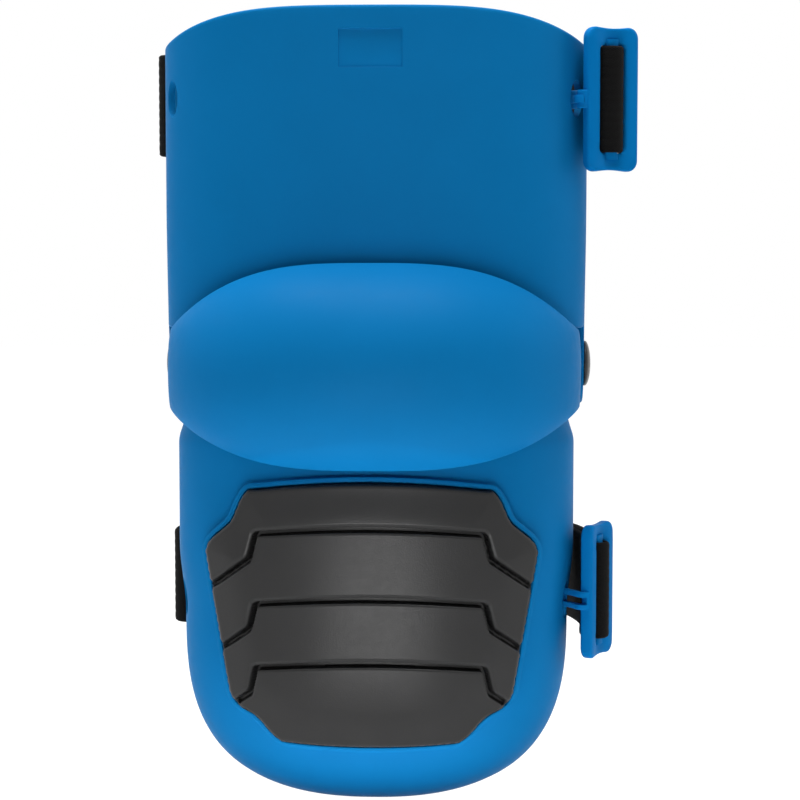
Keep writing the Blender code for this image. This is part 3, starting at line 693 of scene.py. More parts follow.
def sandwich(
    name: str, outer: Array, inner: Array, roundness: float, steps: int = 6, stride: int = 1
) -> Mesh:
    """Close two matching grids into a solid with a rounded rim.

    Args:
        name: Mesh name.
        outer: Rows by columns by 3, in millimetres.
        inner: The same shape.
        roundness: 1 for a half-round rim, 0 for a flat one.
        steps: Rings round the rim.
        stride: Grid steps in one face of the inner side.

    Returns:
        The closed mesh.
    """
    rows, columns = outer.shape[:2]
    border = [(0, c) for c in range(columns)] + [(r, columns - 1) for r in range(1, rows)]
    border += [(rows - 1, c) for c in range(columns - 2, -1, -1)] + [(r, 0) for r in range(rows - 2, 0, -1)]
    near = [(min(max(r, 1), rows - 2), min(max(c, 1), columns - 2)) for r, c in border]
    edge_out = np.array([outer[r, c] for r, c in border])
    edge_in = np.array([inner[r, c] for r, c in border])
    out = unit(edge_out - np.array([outer[r, c] for r, c in near]))
    half = 0.5 * np.linalg.norm(edge_out - edge_in, axis=1, keepdims=True)
    points = [outer.reshape(-1, 3), inner.reshape(-1, 3)]
    count = rows * columns
    faces = grid_faces(rows, columns)
    faces += [tuple(reversed(face)) for face in coarse_faces(rows, columns, count, stride)]
    loops = [[r * columns + c for r, c in border]]
    for step in range(1, steps):
        angle = pi * step / steps
        ring = mix(edge_out, edge_in, 0.5 - 0.5 * cos(angle)) + out * half * roundness * sin(angle)
        loops.append([2 * count + (step - 1) * len(border) + k for k in range(len(border))])
        points.append(ring)
    loops.append([count + r * columns + c for r, c in border])
    for first, second in zip(loops, loops[1:]):
        for k in range(len(border)):
            after = (k + 1) % len(border)
            faces.append((first[after], first[k], second[k], second[after]))
    return make_mesh(name, np.concatenate(points), faces)


def shell_mesh(name: str, outer: Array, inside: Spot) -> Mesh:
    """Give a moulded shell's outer surface its wall, inward from it, and a rounded rim."""
    normals = grid_normals(outer, inside)
    return sandwich(name, outer, outer - normals * SHELL_WALL, SHELL_RIM)


def lathe(name: str, profile: Sequence[Point], steps: int = 64) -> Mesh:
    """Turn a profile about X.

    Args:
        name: Mesh name.
        profile: Closed profile of (radius, x) points in millimetres.
        steps: Sides.

    Returns:
        The turned mesh.
    """
    angles = np.linspace(0.0, 2.0 * pi, steps, endpoint=False)
    circle = np.stack([np.cos(angles), np.sin(angles)], axis=1)
    rings = [np.concatenate([np.full((steps, 1), x), radius * circle], axis=1) for radius, x in profile]
    hollow = profile[0][0] > 0.0
    return make_mesh(name, np.concatenate(rings), grid_faces(len(profile), steps, True, hollow))


def block(name: str, size: Sequence[float], bevel: float, segments: int = 4) -> Mesh:
    """Make a box with rounded edges about its own origin.

    Args:
        name: Mesh name.
        size: Three sizes in millimetres.
        bevel: Edge radius.
        segments: Steps round an edge.

    Returns:
        The mesh.
    """
    form = bmesh.new()
    bmesh.ops.create_cube(form, size=1.0)
    bmesh.ops.scale(form, vec=Vector(size) * MM, verts=form.verts)
    edges = form.edges[:]
    bmesh.ops.bevel(form, geom=edges, offset=bevel * MM, segments=segments, profile=0.5, affect="EDGES")
    return take_mesh(name, form)


def prism(name: str, outline: Array, low: float, high: float, bevel: float) -> Mesh:
    """Extrude a plan outline upward and round its edges.

    Args:
        name: Mesh name.
        outline: Points by 2, in millimetres.
        low: Lower height.
        high: Upper height.
        bevel: Edge radius.

    Returns:
        The mesh.
    """
    form = bmesh.new()
    base = [form.verts.new(Vector((x, y, low)) * MM) for x, y in outline]
    face = form.faces.new(base)
    grown = bmesh.ops.extrude_face_region(form, geom=[face])
    top = [item for item in grown["geom"] if isinstance(item, bmesh.types.BMVert)]
    bmesh.ops.translate(form, verts=top, vec=Vector((0.0, 0.0, (high - low) * MM)))
    bmesh.ops.recalc_face_normals(form, faces=form.faces)
    level = [e for e in form.edges if abs(e.verts[0].co.z - e.verts[1].co.z) < 1e-7]
    bmesh.ops.bevel(form, geom=level, offset=bevel * MM, segments=3, profile=0.5, affect="EDGES")
    return take_mesh(name, form)


def carve(mesh: Mesh, tools: Sequence[tuple[Mesh, Carve]]) -> Mesh:
    """Cut or join helper solids, one after another.

    Args:
        mesh: The piece.
        tools: Helper meshes, each with what it does.

    Returns:
        The carved mesh.
    """
    piece = link(mesh.name, mesh)
    helpers = []
    for tool, action in tools:
        helpers.append(link(tool.name, tool))
        step = piece.modifiers.new(tool.name, "BOOLEAN")
        step.operation = action.value
        step.solver = "EXACT"
        step.object = helpers[-1]
    made = applied_mesh(piece)
    for thing in [piece, *helpers]:
        bpy.data.objects.remove(thing, do_unlink=True)
    return made


def mesh_points(mesh: Mesh) -> Array:
    """Return a mesh's points in metres, one in a row."""
    return np.array([vert.co[:] for vert in mesh.vertices])


def moved(mesh: Mesh, spot: Sequence[float], turn: float = 0.0) -> Mesh:
    """Turn a mesh about Z and move it.

    Args:
        mesh: The mesh.
        spot: Where its origin goes, in millimetres.
        turn: Angle in radians.

    Returns:
        The same mesh.
    """
    points = mesh_points(mesh)
    x = points[:, 0] * cos(turn) - points[:, 1] * sin(turn)
    y = points[:, 0] * sin(turn) + points[:, 1] * cos(turn)
    points = np.stack([x, y, points[:, 2]], axis=1) + np.array(spot) * MM
    mesh.vertices.foreach_set("co", points.ravel())
    mesh.update()
    return mesh


def set_uv(mesh: Mesh, values: Array) -> Mesh:
    """Store a UV map given by point.

    Args:
        mesh: The mesh, its points in the order of the values.
        values: Points by 2.

    Returns:
        The same mesh.
    """
    layer = mesh.uv_layers.new(name="UVMap")
    corners = np.empty(len(mesh.loops), dtype=np.int64)
    mesh.loops.foreach_get("vertex_index", corners)
    layer.data.foreach_set("uv", values[corners].astype(np.float32).ravel())
    return mesh


def project_uv(mesh: Mesh) -> Mesh:
    """Store a UV map in millimetres read from x and z, and return the mesh."""
    return set_uv(mesh, mesh_points(mesh)[:, [0, 2]] / MM)


def show(name: str, mesh: Mesh, material: Material) -> Thing:
    """Put a finished mesh into the scene at the origin.

    Args:
        name: Object name.
        mesh: The mesh.
        material: Its finish.

    Returns:
        The object.
    """
    mesh.materials.clear()
    mesh.materials.append(material)
    LOG.info("%s: %d faces", name, len(mesh.polygons))
    return link(name, mesh)


def hand_over(thing: Thing, body: Body, slot: Slot, *nodes: str) -> Thing:
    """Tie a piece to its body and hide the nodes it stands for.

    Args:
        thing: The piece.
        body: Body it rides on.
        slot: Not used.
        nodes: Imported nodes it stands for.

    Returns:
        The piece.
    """
    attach(thing, body.value)
    if nodes:
        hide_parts(*nodes)
    return thing


@dataclass(frozen=True)
class USection:
    """A level section: rounded front, straight sides running back to an edge."""

    power: float = 2.4
    front_share: float = 0.8
    bend: float = -14.0

    def point(self, side: Array, half_width: Array, front: Array, rear: Array) -> tuple[Array, Array]:
        """Return points of the section.

        Args:
            side: From -1 at the left rear edge to 1 at the right one.
            half_width: Half width at the straight sides.
            front: How far the front stands out.
            rear: Where the sides end.

        Returns:
            x and y.
        """
        reach = np.abs(side)
        angle = 0.5 * pi * np.clip(reach / self.front_share, 0.0, 1.0)
        curve = 2.0 / self.power
        x = half_width * np.sin(angle) ** curve
        y = self.bend - (self.bend + front) * np.clip(np.cos(angle), 0.0, 1.0) ** curve
        share = np.clip((reach - self.front_share) / (1.0 - self.front_share), 0.0, 1.0)
        back = mix(self.bend, rear, 0.5 - 0.5 * np.cos(pi * share))
        wall = reach > self.front_share
        return np.sign(side) * np.where(wall, half_width, x), np.where(wall, back, y)

    def skirt(self, side: Array, level: float, ear: Array) -> Array:
        """Return a shell's edge at the joint: a level round the front, an ear's heights at each side."""
        front = level * ease(0.0, 0.05, 1.0 - np.abs(side) / self.front_share)
        return np.where(np.abs(side) >= self.front_share, ear, front)


def even_sides(section: Callable[[Array], tuple[Array, Array]], count: int) -> Array:
    """Return side values spaced evenly along a section.

    Args:
        section: Gives x and y for side values.
        count: How many values.

    Returns:
        The side values.
    """
    side = np.linspace(-1.0, 1.0, 4001)
    length = run_length(np.stack(section(side), axis=1))
    return np.interp(np.linspace(0.0, length[-1], count), length, side)


def hook_cutters(
    spot: Point, level: float, slant: float, width: float = 8.2, height: float = 12.6
) -> list[Mesh]:
    """Return borers with flared mouths for the two upright oval hook holes of a shell.

    Args:
        spot: Right hole's centre on the wall's outer face, in x and y.
        level: Hole centre along Z.
        slant: How far the right hole's axis turns forward from X, in radians.
        width: Hole width.
        height: Hole height.

    Returns:
        Two helper meshes.
    """
    radius = 0.5 * height
    reach = 8.0
    flare = [(2.4, 2.0), (0.9, 0.45), (0.35, 0.0), (0.08, -0.5), (0.0, -0.9)]
    mouth = [(radius + more, x) for more, x in flare]
    profile = [(0.0, reach), (mouth[0][0], reach), *mouth, (radius, -reach), (0.0, -reach)]
    tools = []
    for side in Side:
        tool = lathe("hook_hole", profile, 56)
        tool.transform(Matrix.Scale(width / height, 4, Vector((0.0, 1.0, 0.0))))
        turn = -slant if side is Side.RIGHT else pi + slant
        tools.append(moved(tool, (side.value * spot[0], spot[1], level), turn))
    return tools


def rivet_cutters(radius: float = 3.3, reach: float = 10.0) -> list[Mesh]:
    """Return borers for the two rivet holes, of a radius and a reach to each side of the wall."""
    profile = [(0.0, reach), (radius, reach), (radius, -reach), (0.0, -reach)]
    return [moved(lathe("rivet_hole", profile, 40), (side.value * RIVET_HOLE_X, 0.0, 0.0)) for side in Side]


def slot_cutter(x: float, depth: float, level: float, height: float) -> Mesh:
    """Return the cutter of a strap slot in a shell's left wall, at x, a depth and a level."""
    return moved(block("slot", (*STRAP_SLOT, height), STRAP_SLOT_EDGE), (x, depth, level))


@dataclass
class ThighShell:
    """The upper shell with its bare recess, hook holes and strap slot."""

    section_form: USection = USection()
    low_half_width: float = 77.0
    high_half_width: float = 77.6
    widening: Point = (0.0, 60.0)
    front: float = 57.0
    rear: float = 12.0
    rear_run: Point = (10.0, 45.0)
    ear: float = 14.0
    middle: float = 60.0
    top: float = 128.0
    top_reading: float = 120.0
    top_drop: float = 12.4
    top_power: int = 4
    corner: float = 16.0
    skirt: float = 15.4
    hook_spot: Point = (73.2, -32.4)
    hook_level: float = 97.5
    hook_slant: float = radians(31.0)
    slot_x: float = -77.0
    slot_depth: float = 3.6
    slot_level: float = 97.0
    slot_height: float = 41.0
    label_size: Spot = (22.5, 10.0, 13.7)
    label_level: float = 114.0
    label_depth: float = 1.0
    label_edge: float = 0.5
    columns: int = 261
    rows: int = 121

    def section(self, side: Array, z: Array, inset: Array = 0.0) -> tuple[Array, Array]:
        """Return the outer surface at a height, or a surface set in from it.

        Args:
            side: Side values.
            z: Heights.
            inset: Distance inward.

        Returns:
            x and y.
        """
        half_width = mix(self.low_half_width, self.high_half_width, ease(*self.widening, z))
        rear = mix(self.ear, self.rear, ease(*self.rear_run, z))
        return self.section_form.point(side, half_width - inset, self.front - inset, rear)

    def edges(self, side: Array) -> tuple[Array, Array]:
        """Return the heights of the lower and upper edge.

        Args:
            side: Side values.

        Returns:
            Lower and upper heights.
        """
        share = self.section_form.front_share
        x, _ = self.section(side, self.top_reading)
        _, y = self.section(side, 0.0)
        past = np.clip((np.abs(side) - share) / (1.0 - share), 0.0, 1.0)
        upper = self.top - self.top_drop * np.abs(x / self.high_half_width) ** self.top_power
        upper = upper - self.corner * (1.0 - np.sqrt(1.0 - past * past))
        ear = -np.sqrt(np.clip(self.ear ** 2 - y * y, 0.0, None))
        return self.section_form.skirt(side, self.skirt, ear), upper

    def grid(self) -> Array:
        """Return the outer surface as a grid.

        Returns:
            Rows by columns by 3.
        """
        side = even_sides(lambda s: self.section(s, self.middle), self.columns)
        low, high = self.edges(side)
        z = mix(low[None, :], high[None, :], np.linspace(0.0, 1.0, self.rows)[:, None])
        x, y = self.section(np.broadcast_to(side, z.shape), z)
        return np.stack([x, y, z], axis=-1)

    def cutters(self) -> list[Mesh]:
        """Return the solids that bore and recess the shell.

        Returns:
            Helper meshes.
        """
        tools = hook_cutters(self.hook_spot, self.hook_level, self.hook_slant)
        tools += rivet_cutters()
        tools.append(slot_cutter(self.slot_x, self.slot_depth, self.slot_level, self.slot_height))
        label = block("recess", self.label_size, self.label_edge, 3)
        label_y = self.label_depth - self.front - 0.5 * self.label_size[1]
        tools.append(moved(label, (0.0, label_y, self.label_level)))
        return tools

    def build(self, finish: Material) -> None:
        """Build and hand over the shell.

        Args:
            finish: Its material.
        """
        mesh = shell_mesh("thigh_shell", self.grid(), (0.0, 0.0, self.middle))
        mesh = smooth(carve(mesh, [(tool, Carve.CUT) for tool in self.cutters()]))
        hand_over(show("thigh_shell", mesh, finish), Body.THIGH, Slot.SHELL, "upper_shell")


@dataclass
class ShinShell:
    """The lower shell with its toe, raised lip, hook holes and strap slot."""

    section_form: USection = USection()
    half_width: float = 73.4
    toe_half_width: float = 71.2
    toe_widened: float = -65.0
    ear_half_width: float = 70.8
    ear_narrowing: Point = (-28.0, -17.0)
    front: float = 64.0
    front_draw: float = 3.0
    front_run: Point = (-34.0, -8.0)
    rear: float = 12.0
    rear_reached: float = -55.0
    toe_rear: float = 8.0
    ear: float = 14.0
    ear_run: Point = (-40.0, -10.0)
    skirt: float = -10.0
    middle: float = -70.0
    toe_level: float = -91.0
    toe_height: float = 66.0
    toe_depth: float = -34.0
    toe_power: float = 2.9
    hook_spot: Point = (70.2, -27.0)
    hook_level: float = -86.0
    hook_slant: float = radians(16.0)
    slot_x: float = -71.5
    slot_depth: float = 0.4
    slot_level: float = -82.0
    slot_height: float = 38.6
    columns: int = 241
    toe_rows: int = 48
    rows: int = 84

    def wide(self, z: Array) -> Array:
        """Return the half width at heights above the toe."""
        wide = mix(self.toe_half_width, self.half_width, ease(self.toe_level, self.toe_widened, z))
        return wide + (self.ear_half_width - self.half_width) * ease(*self.ear_narrowing, z)

    def toe_scale(self, z: Array) -> Array:
        """Return how far the section has shrunk: 1 above the toe and 0 at its tip."""
        drop = np.clip((self.toe_level - np.asarray(z, float)) / self.toe_height, 0.0, 1.0)
        return (1.0 - drop ** self.toe_power) ** (1.0 / self.toe_power)

    def draw_in(self, y: Array, scale: Array) -> Array:
        """Draw the full section's depths towards the toe's tip by the toe scale."""
        return mix(self.toe_depth, y, np.where(y < self.toe_depth, scale, scale * scale))

    def section(self, side: Array, z: Array, inset: Array = 0.0) -> tuple[Array, Array]:
        """Return the outer surface at a height, toe included, or a surface set in from it.

        Args:
            side: Side values.
            z: Heights.
            inset: Distance inward.

        Returns:
            x and y.
        """
        level = np.maximum(z, self.toe_level)
        rear = mix(self.toe_rear, self.rear, ease(self.toe_level, self.rear_reached, level))
        rear = mix(rear, self.ear, ease(*self.ear_run, level))
        front = self.front - self.front_draw * ease(*self.front_run, level)
        x, y = self.section_form.point(side, self.wide(level) - inset, front - inset, rear)
        scale = self.toe_scale(z)
        return x * scale, self.draw_in(y, scale)

    def depth(self, x: Array, z: Array) -> Array:
        """Return the depth of the front surface.

        Args:
            x: Positions across.
            z: Heights.

        Returns:
            Depths.
        """
        scale = self.toe_scale(z)
        form = self.section_form
        wide = scale * self.wide(np.maximum(z, self.toe_level))
        near = np.clip(1.0 - np.abs(x / wide) ** form.power, 0.0, 1.0) ** (1.0 / form.power)
        return self.draw_in(form.bend - (form.bend + self.front) * near, scale)

    def raised(self, x: Array, z: Array, height: Array) -> Array:
        """Return points at a height over the front surface.

        Args:
            x: Positions across.
            z: Heights along the leg.
            height: Distance from the surface.

        Returns:
            Points with a last axis of 3.
        """
        step = 0.5
        run = np.full_like(x, 2.0 * step)
        none = np.zeros_like(x)
        across = np.stack([run, self.depth(x + step, z) - self.depth(x - step, z), none], axis=-1)
        along = np.stack([none, self.depth(x, z + step) - self.depth(x, z - step), run], axis=-1)
        normal = unit(np.cross(across, along))
        base = np.stack([x, self.depth(x, z), z], axis=-1)
        return base + normal * np.asarray(height)[..., None]

    def edge(self, side: Array) -> Array:
        """Return the height of the upper edge.

        Args:
            side: Side values.

        Returns:
            Heights.
        """
        _, y = self.section(side, np.zeros_like(side))
        ear = np.sqrt(np.clip(self.ear ** 2 - y * y, 0.0, None))
        return self.section_form.skirt(side, self.skirt, ear)

    def grid(self) -> Array:
        """Return the outer surface as a grid from the toe up.

        Returns:
            Rows by columns by 3.
        """
        side = even_sides(lambda s: self.section(s, np.full_like(s, self.middle)), self.columns)
        angle = np.linspace(0.0, 0.5 * pi, self.toe_rows)[:-1, None]
        toe = self.toe_level - self.toe_height * np.cos(angle) ** (2.0 / self.toe_power)
        toe = np.broadcast_to(toe, (self.toe_rows - 1, self.columns))
        up = np.linspace(0.0, 1.0, self.rows)[:, None]
        z = np.concatenate([toe, mix(self.toe_level, self.edge(side)[None, :], up)])
        x, y = self.section(np.broadcast_to(side, z.shape), z)
        return np.stack([x, y, z], axis=-1)

    def build(self, finish: Material, tread: "TreadPad") -> None:
        """Build and hand over the shell.

        Args:
            finish: Its material.
            tread: The pad that the lip goes round.
        """
        mesh = shell_mesh("shin_shell", self.grid(), (0.0, 0.0, self.middle))
        cuts = hook_cutters(self.hook_spot, self.hook_level, self.hook_slant) + rivet_cutters()
        cuts.append(slot_cutter(self.slot_x, self.slot_depth, self.slot_level, self.slot_height))
        tools = [(tread.lip(self), Carve.JOIN), *((tool, Carve.CUT) for tool in cuts)]
        mesh = smooth(carve(mesh, tools))
        hand_over(show("shin_shell", mesh, finish), Body.SHIN, Slot.SHELL, "lower_shell")


@dataclass(frozen=True)
class DomeEdge:
    """One edge of the dome: its height, half width and how far its front stands out."""

    height: float
    half_width: float
    front: float


@dataclass
class KneeCap:
    """The domed shell over the joint."""

    half_width: float = 75.4
    ear_half_width: float = 74.0
    ear_height: float = 13.6
    ear: float = 14.0
    bend: float = -14.0
    centre: float = -28.0
    apex: float = 90.0
    power: float = 2.2
    middle: float = 2.0
    sweep: float = radians(68)
    front_share: float = 0.7
    ear_share: float = 0.8
    top: DomeEdge = DomeEdge(38.8, 74.6, 62.0)
    bottom: DomeEdge = DomeEdge(33.9, 75.0, 68.0)
    edge_power: float = 2.4
    fall_power: float = 3.1
    columns: int = 281
    rows: int = 97

    def ring(self, side: Array, wide: float, apex: float, power: float) -> tuple[Array, Array]:
        """Return a level ring from one ear round the front to the other.

        Args:
            side: Side values.
            wide: Half width.
            apex: How far the front stands out.
            power: Roundness.

        Returns:
            x and y.
        """
        reach = np.abs(side)
        angle = 0.5 * pi * np.clip(reach / self.front_share, 0.0, 1.0)
        x = wide * np.sin(angle) ** (2.0 / power)
        y = self.centre - (apex + self.centre) * np.clip(np.cos(angle), 0.0, 1.0) ** (2.0 / power)
        share = np.clip((reach - self.front_share) / (self.ear_share - self.front_share), 0.0, 1.0)
        x = np.where(reach > self.front_share, mix(wide, self.ear_half_width, ease(0.0, 0.7, share)), x)
        y = np.where(reach > self.front_share, mix(self.centre, self.bend, share), y)
        # The ear's first third runs straight to the rivet and the rest goes round its end.
        past = 3.0 * np.clip((reach - self.ear_share) / (1.0 - self.ear_share), 0.0, 1.0)
        ear = np.where(past < 1.0, mix(self.bend, 0.0, past), self.ear * np.sin(0.25 * pi * (past - 1.0)))
        y = np.where(reach > self.ear_share, ear, y)
        return np.sign(side) * x, y

    def point(self, side: Array, up: Array, inset: Array = 0.0) -> Array:
        """Return points of the dome, or of a surface set in from it.

        Args:
            side: Side values.
            up: From -1 at the lower edge to 1 at the upper edge.
            inset: Distance inward.

        Returns:
            Points with a last axis of 3.
        """
        x, y = self.ring(side, self.half_width, self.apex, self.power)
        upper = up > 0.0
        sign = np.where(upper, 1.0, -1.0)
        low, high = (self.ring(side, e.half_width, e.front, self.edge_power) for e in (self.bottom, self.top))
        edge_x = np.where(upper, high[0], low[0])
        edge_y = np.where(upper, high[1], low[1])
        wide = np.where(upper, self.top.half_width, self.bottom.half_width)
        reach = np.where(upper, self.top.height, self.bottom.height) - self.ear_height
        fall = np.clip(np.abs(edge_x) / wide, 0.0, 1.0) ** self.fall_power
        fall = np.where(y < self.centre, fall, 1.0)
        edge_z = sign * (self.ear_height + reach * (1.0 - fall))
        angle = self.sweep * np.abs(up)
        rise = np.sin(angle) / sin(self.sweep)
        draw = (1.0 - np.cos(angle)) / (1.0 - cos(self.sweep))
        deep = self.apex + self.centre
        slope_x = np.clip(np.abs(x) / self.half_width, 0.0, 1.0) ** (self.power - 1.0) / self.half_width
        slope_y = np.clip((self.centre - y) / deep, 0.0, 1.0) ** (self.power - 1.0) / deep
        size = np.hypot(slope_x, slope_y)
        z = mix(self.middle * (1.0 - fall), edge_z, rise)
        round_end = self.ear_height * np.sqrt(np.clip(1.0 - (y / self.ear) ** 2, 0.0, 1.0))
        z = np.where(y > 0.0, up * round_end, z)
        new_x = mix(x, edge_x, draw) - np.sign(side) * inset * slope_x / size
        new_y = mix(y, edge_y, draw) + inset * slope_y / size
        return np.stack([new_x, new_y, z], axis=-1)

    def build(self, finish: Material) -> None:
        """Build and hand over the dome.

        Args:
            finish: Its material.
        """
        side = even_sides(lambda s: self.ring(s, self.half_width, self.apex, self.power), self.columns)
        outer = self.point(*np.meshgrid(side, np.linspace(-1.0, 1.0, self.rows)))
        mesh = shell_mesh("knee_cap", outer, (0.0, -20.0, 0.0))
        mesh = smooth(carve(mesh, [(tool, Carve.CUT) for tool in rivet_cutters()]))
        hand_over(show("knee_cap_dome", mesh, finish), Body.KNEECAP, Slot.SHELL, "knee_cap")


@dataclass
class TreadPad:
    """The grooved rubber pad and the lip of the shell round it."""

    outline: tuple[Point, ...] = (
        (42.0, -41.6), (44.4, -44.2), (48.2, -53.4), (55.9, -60.4), (57.6, -64.0),
        (48.9, -115.0), (46.9, -118.6), (39.4, -122.2), (33.8, -128.8), (30.4, -130.9),
    )
    corner_shifts: tuple[float, ...] = (-1.2, -0.6, 0.0, 0.6, 1.2)
    top_rise: float = 3.0
    bottom_fall: float = 1.2
    seat: float = 0.8
    height: float = 3.4
    crown: float = 1.4
    crown_run: float = 14.0
    rim_radius: float = 1.3
    groove_levels: tuple[float, ...] = (-54.2, -79.2, -102.0)
    groove_half_width: float = 39.7
    groove_sag: float = 2.8
    groove_corner: float = 0.4
    groove_drop: float = 8.5
    groove_lean: float = 1.6
    groove_low: float = -1.2
    groove_high: float = 0.6
    groove_floor: float = 0.5
    bevel_width: float = 1.2
    bevel_depth: float = 0.75
    shoulder: float = 0.35
    shoulder_width: float = 0.9
    lip_offset: float = 0.7
    lip_width: float = 1.9
    lip_height: float = 2.5
    lip_root: float = -0.9
    lip_points: int = 420
    columns: int = 261
    plain_rows: int = 171
    row_gap: float = 0.3

    @property
    def low(self) -> float:
        """Return the height of the pad's lowest corners."""
        return self.outline[-1][1]

    @property
    def high(self) -> float:
        """Return the height of the pad's highest corners."""
        return self.outline[0][1]

    @property
    def bow_levels(self) -> list[Point]:
        """Return how far the rows bow up in the middle, by level, from the lowest row to the highest.

        Returns:
            Pairs of level and bow; each groove's middle lies on a row.
        """
        sag = self.groove_sag - self.groove_corner
        grooves = sorted((level - sag, sag) for level in self.groove_levels)
        return [(self.low, -self.bottom_fall), *grooves, (self.high, self.top_rise)]

    def half_width(self, level: Array) -> Array:
        """Return the pad's half width, its corners eased, at heights between its corner rows."""
        xs, zs = np.array(self.outline)[::-1].T
        return sum(np.interp(level + shift, zs, xs) for shift in self.corner_shifts) / len(self.corner_shifts)

    def spot(self, across: Array, level: Array) -> tuple[Array, Array]:
        """Return x and z on the shell's front.

        Args:
            across: From -1 at the left edge to 1 at the right.
            level: Height before the ends are bowed.

        Returns:
            x and z.
        """
        levels, bows = zip(*self.bow_levels)
        x = across * self.half_width(level)
        reach = np.minimum(self.half_width(level), self.groove_half_width)
        return x, level + np.interp(level, levels, bows) * np.clip(1.0 - (x / reach) ** 2, 0.0, None)

    def row_levels(self) -> Array:
        """Return the levels of the pad's rows, close together at each groove's walls and bevel.

        Returns:
            Levels from the top down.
        """
        fine = np.concatenate([
            np.arange(self.groove_low - 1.2, self.groove_low + 0.75, 0.13),
            np.arange(self.groove_low + 1.0, self.groove_high - 0.5, 0.4),
            np.arange(self.groove_high - 0.45, self.groove_high + 0.5, 0.13),
            np.arange(self.groove_high + 0.7, self.groove_high + self.bevel_width + 0.7, 0.3),
        ])
        rows = np.concatenate([level + fine for level, _ in self.bow_levels[1:-1]])
        plain = np.linspace(self.low, self.high, self.plain_rows)
        far = np.min(np.abs(plain[:, None] - rows[None, :]), axis=1) > self.row_gap
        return np.sort(np.concatenate([rows, plain[far]]))[::-1]

    def route(self, level: float) -> Array:
        """Return one chevron groove's route.

        Args:
            level: Height of its middle.

        Returns:
            Points by 2, in x and z, from left to right.
        """
        wide = self.groove_half_width
        end = level - self.groove_sag
        foot = np.array([wide + self.groove_lean, end - self.groove_drop])
        x = np.linspace(0.0, wide - 1.2, 14)
        right = [(a, level - (self.groove_sag - self.groove_corner) * (a / wide) ** 2) for a in x]
        right += [(wide - 0.3, end - 0.2), (wide, end - 1.2)]
        right += [tuple(foot + np.array(more)) for more in ((-0.1, 0.9), (0.5, -0.5), (24.0, -18.4))]
        left = [(-a, b) for a, b in right[:0:-1]]
        return np.array(left + right)

    def groove_distance(self, x: Array, z: Array) -> Array:
        """Return the distance to the nearest groove's middle.

        Args:
            x: Positions across.
            z: Heights.

        Returns:
            Distances, positive on the plate above the groove and negative on the one below.
        """
        best = np.full(x.shape, FAR)
        signed = np.full(x.shape, FAR)
        for level in self.groove_levels:
            points = self.route(level)
            for start, end in zip(points[:-1], points[1:]):
                run = end - start
                share = ((x - start[0]) * run[0] + (z - start[1]) * run[1]) / (run @ run)
                share = np.clip(share, 0.0, 1.0)
                gap_x = x - start[0] - share * run[0]
                gap_z = z - start[1] - share * run[1]
                gap = np.hypot(gap_x, gap_z)
                above = run[0] * gap_z - run[1] * gap_x > 0.0
                closer = gap < best
                signed = np.where(closer, np.where(above, gap, -gap), signed)
                best = np.where(closer, gap, best)
        return signed

    def surface_height(self, x: Array, z: Array, rim: Array) -> Array:
        """Return the pad's height over the shell.

        Args:
            x: Positions across.
            z: Heights.
            rim: Distance to the pad's edge.

        Returns:
            Heights.
        """
        crown = self.crown * ease(0.0, self.crown_run, rim)
        inward = 1.0 - np.clip(rim / self.rim_radius, 0.0, 1.0)
        edge = self.rim_radius * (1.0 - np.sqrt(np.clip(1.0 - inward ** 2, 0.0, 1.0)))
        signed = self.groove_distance(x, z)
        inside = np.minimum(signed - self.groove_low, self.groove_high - signed)
        groove = (self.height + crown - self.groove_floor) * ease(-0.2, 0.3, inside) * ease(0.2, 1.2, rim)
        slope = np.clip((signed - self.groove_high) / self.bevel_width, 0.0, 1.0)
        bevel = self.bevel_depth * (1.0 - slope) * (signed > self.groove_low)
        rounding = 1.0 - ease(0.0, self.shoulder_width, self.groove_low - signed)
        shoulder = self.shoulder * rounding * (signed <= self.groove_low)
        return self.seat + self.height + crown - edge - np.maximum(np.maximum(groove, bevel), shoulder)

    def rim_line(self) -> tuple[Array, Array]:
        """Return the pad's edge as a closed line.

        Returns:
            x and z, counted clockwise from the top left corner.
        """
        run = np.linspace(-1.0, 1.0, 120)
        down = np.linspace(self.high, self.low, 200)[1:-1]
        one = np.ones_like(down)
        sides = [
            self.spot(run, np.full_like(run, self.high)),
            self.spot(one, down),
            self.spot(run[::-1], np.full_like(run, self.low)),
            self.spot(-one, down[::-1]),
        ]
        return np.concatenate([s[0] for s in sides]), np.concatenate([s[1] for s in sides])

    def build(self, shell: ShinShell, finish: Material) -> None:
        """Build and hand over the pad.

        Args:
            shell: The shell it lies on.
            finish: Its material.
        """
        across, level = np.meshgrid(np.linspace(-1.0, 1.0, self.columns), self.row_levels())
        x, z = self.spot(across, level)
        rim = np.full(x.shape, FAR)
        for edge_x, edge_z in zip(*self.rim_line()):
            rim = np.minimum(rim, (x - edge_x) ** 2 + (z - edge_z) ** 2)
        top = shell.raised(x, z, self.surface_height(x, z, np.sqrt(rim)))
        base = shell.raised(x, z, np.full(x.shape, self.seat))
        mesh = smooth(sandwich("tread", top, base, 0.2, 4, 6), 62.0)
        hand_over(show("tread", mesh, finish), Body.SHIN, Slot.TREAD, "tread_pad")

    def lip_section(self) -> list[Point]:
        """Return the lip's section.

        Returns:
            Pairs of offset from the pad's edge and height over the shell, from inner to outer root.
        """
        near = self.lip_offset
        far = near + self.lip_width
        tall = self.lip_height
        inner = [(near, self.lip_root), (near, tall - 0.4), (near + 0.14, tall - 0.12), (near + 0.4, tall)]
        outer = [(far - 0.6, tall), (far - 0.2, tall - 0.2), (far, tall - 0.7), (far + 0.12, 0.4)]
        return inner + outer + [(far + 0.45, 0.05), (far + 0.9, -0.2), (far + 0.9, self.lip_root)]

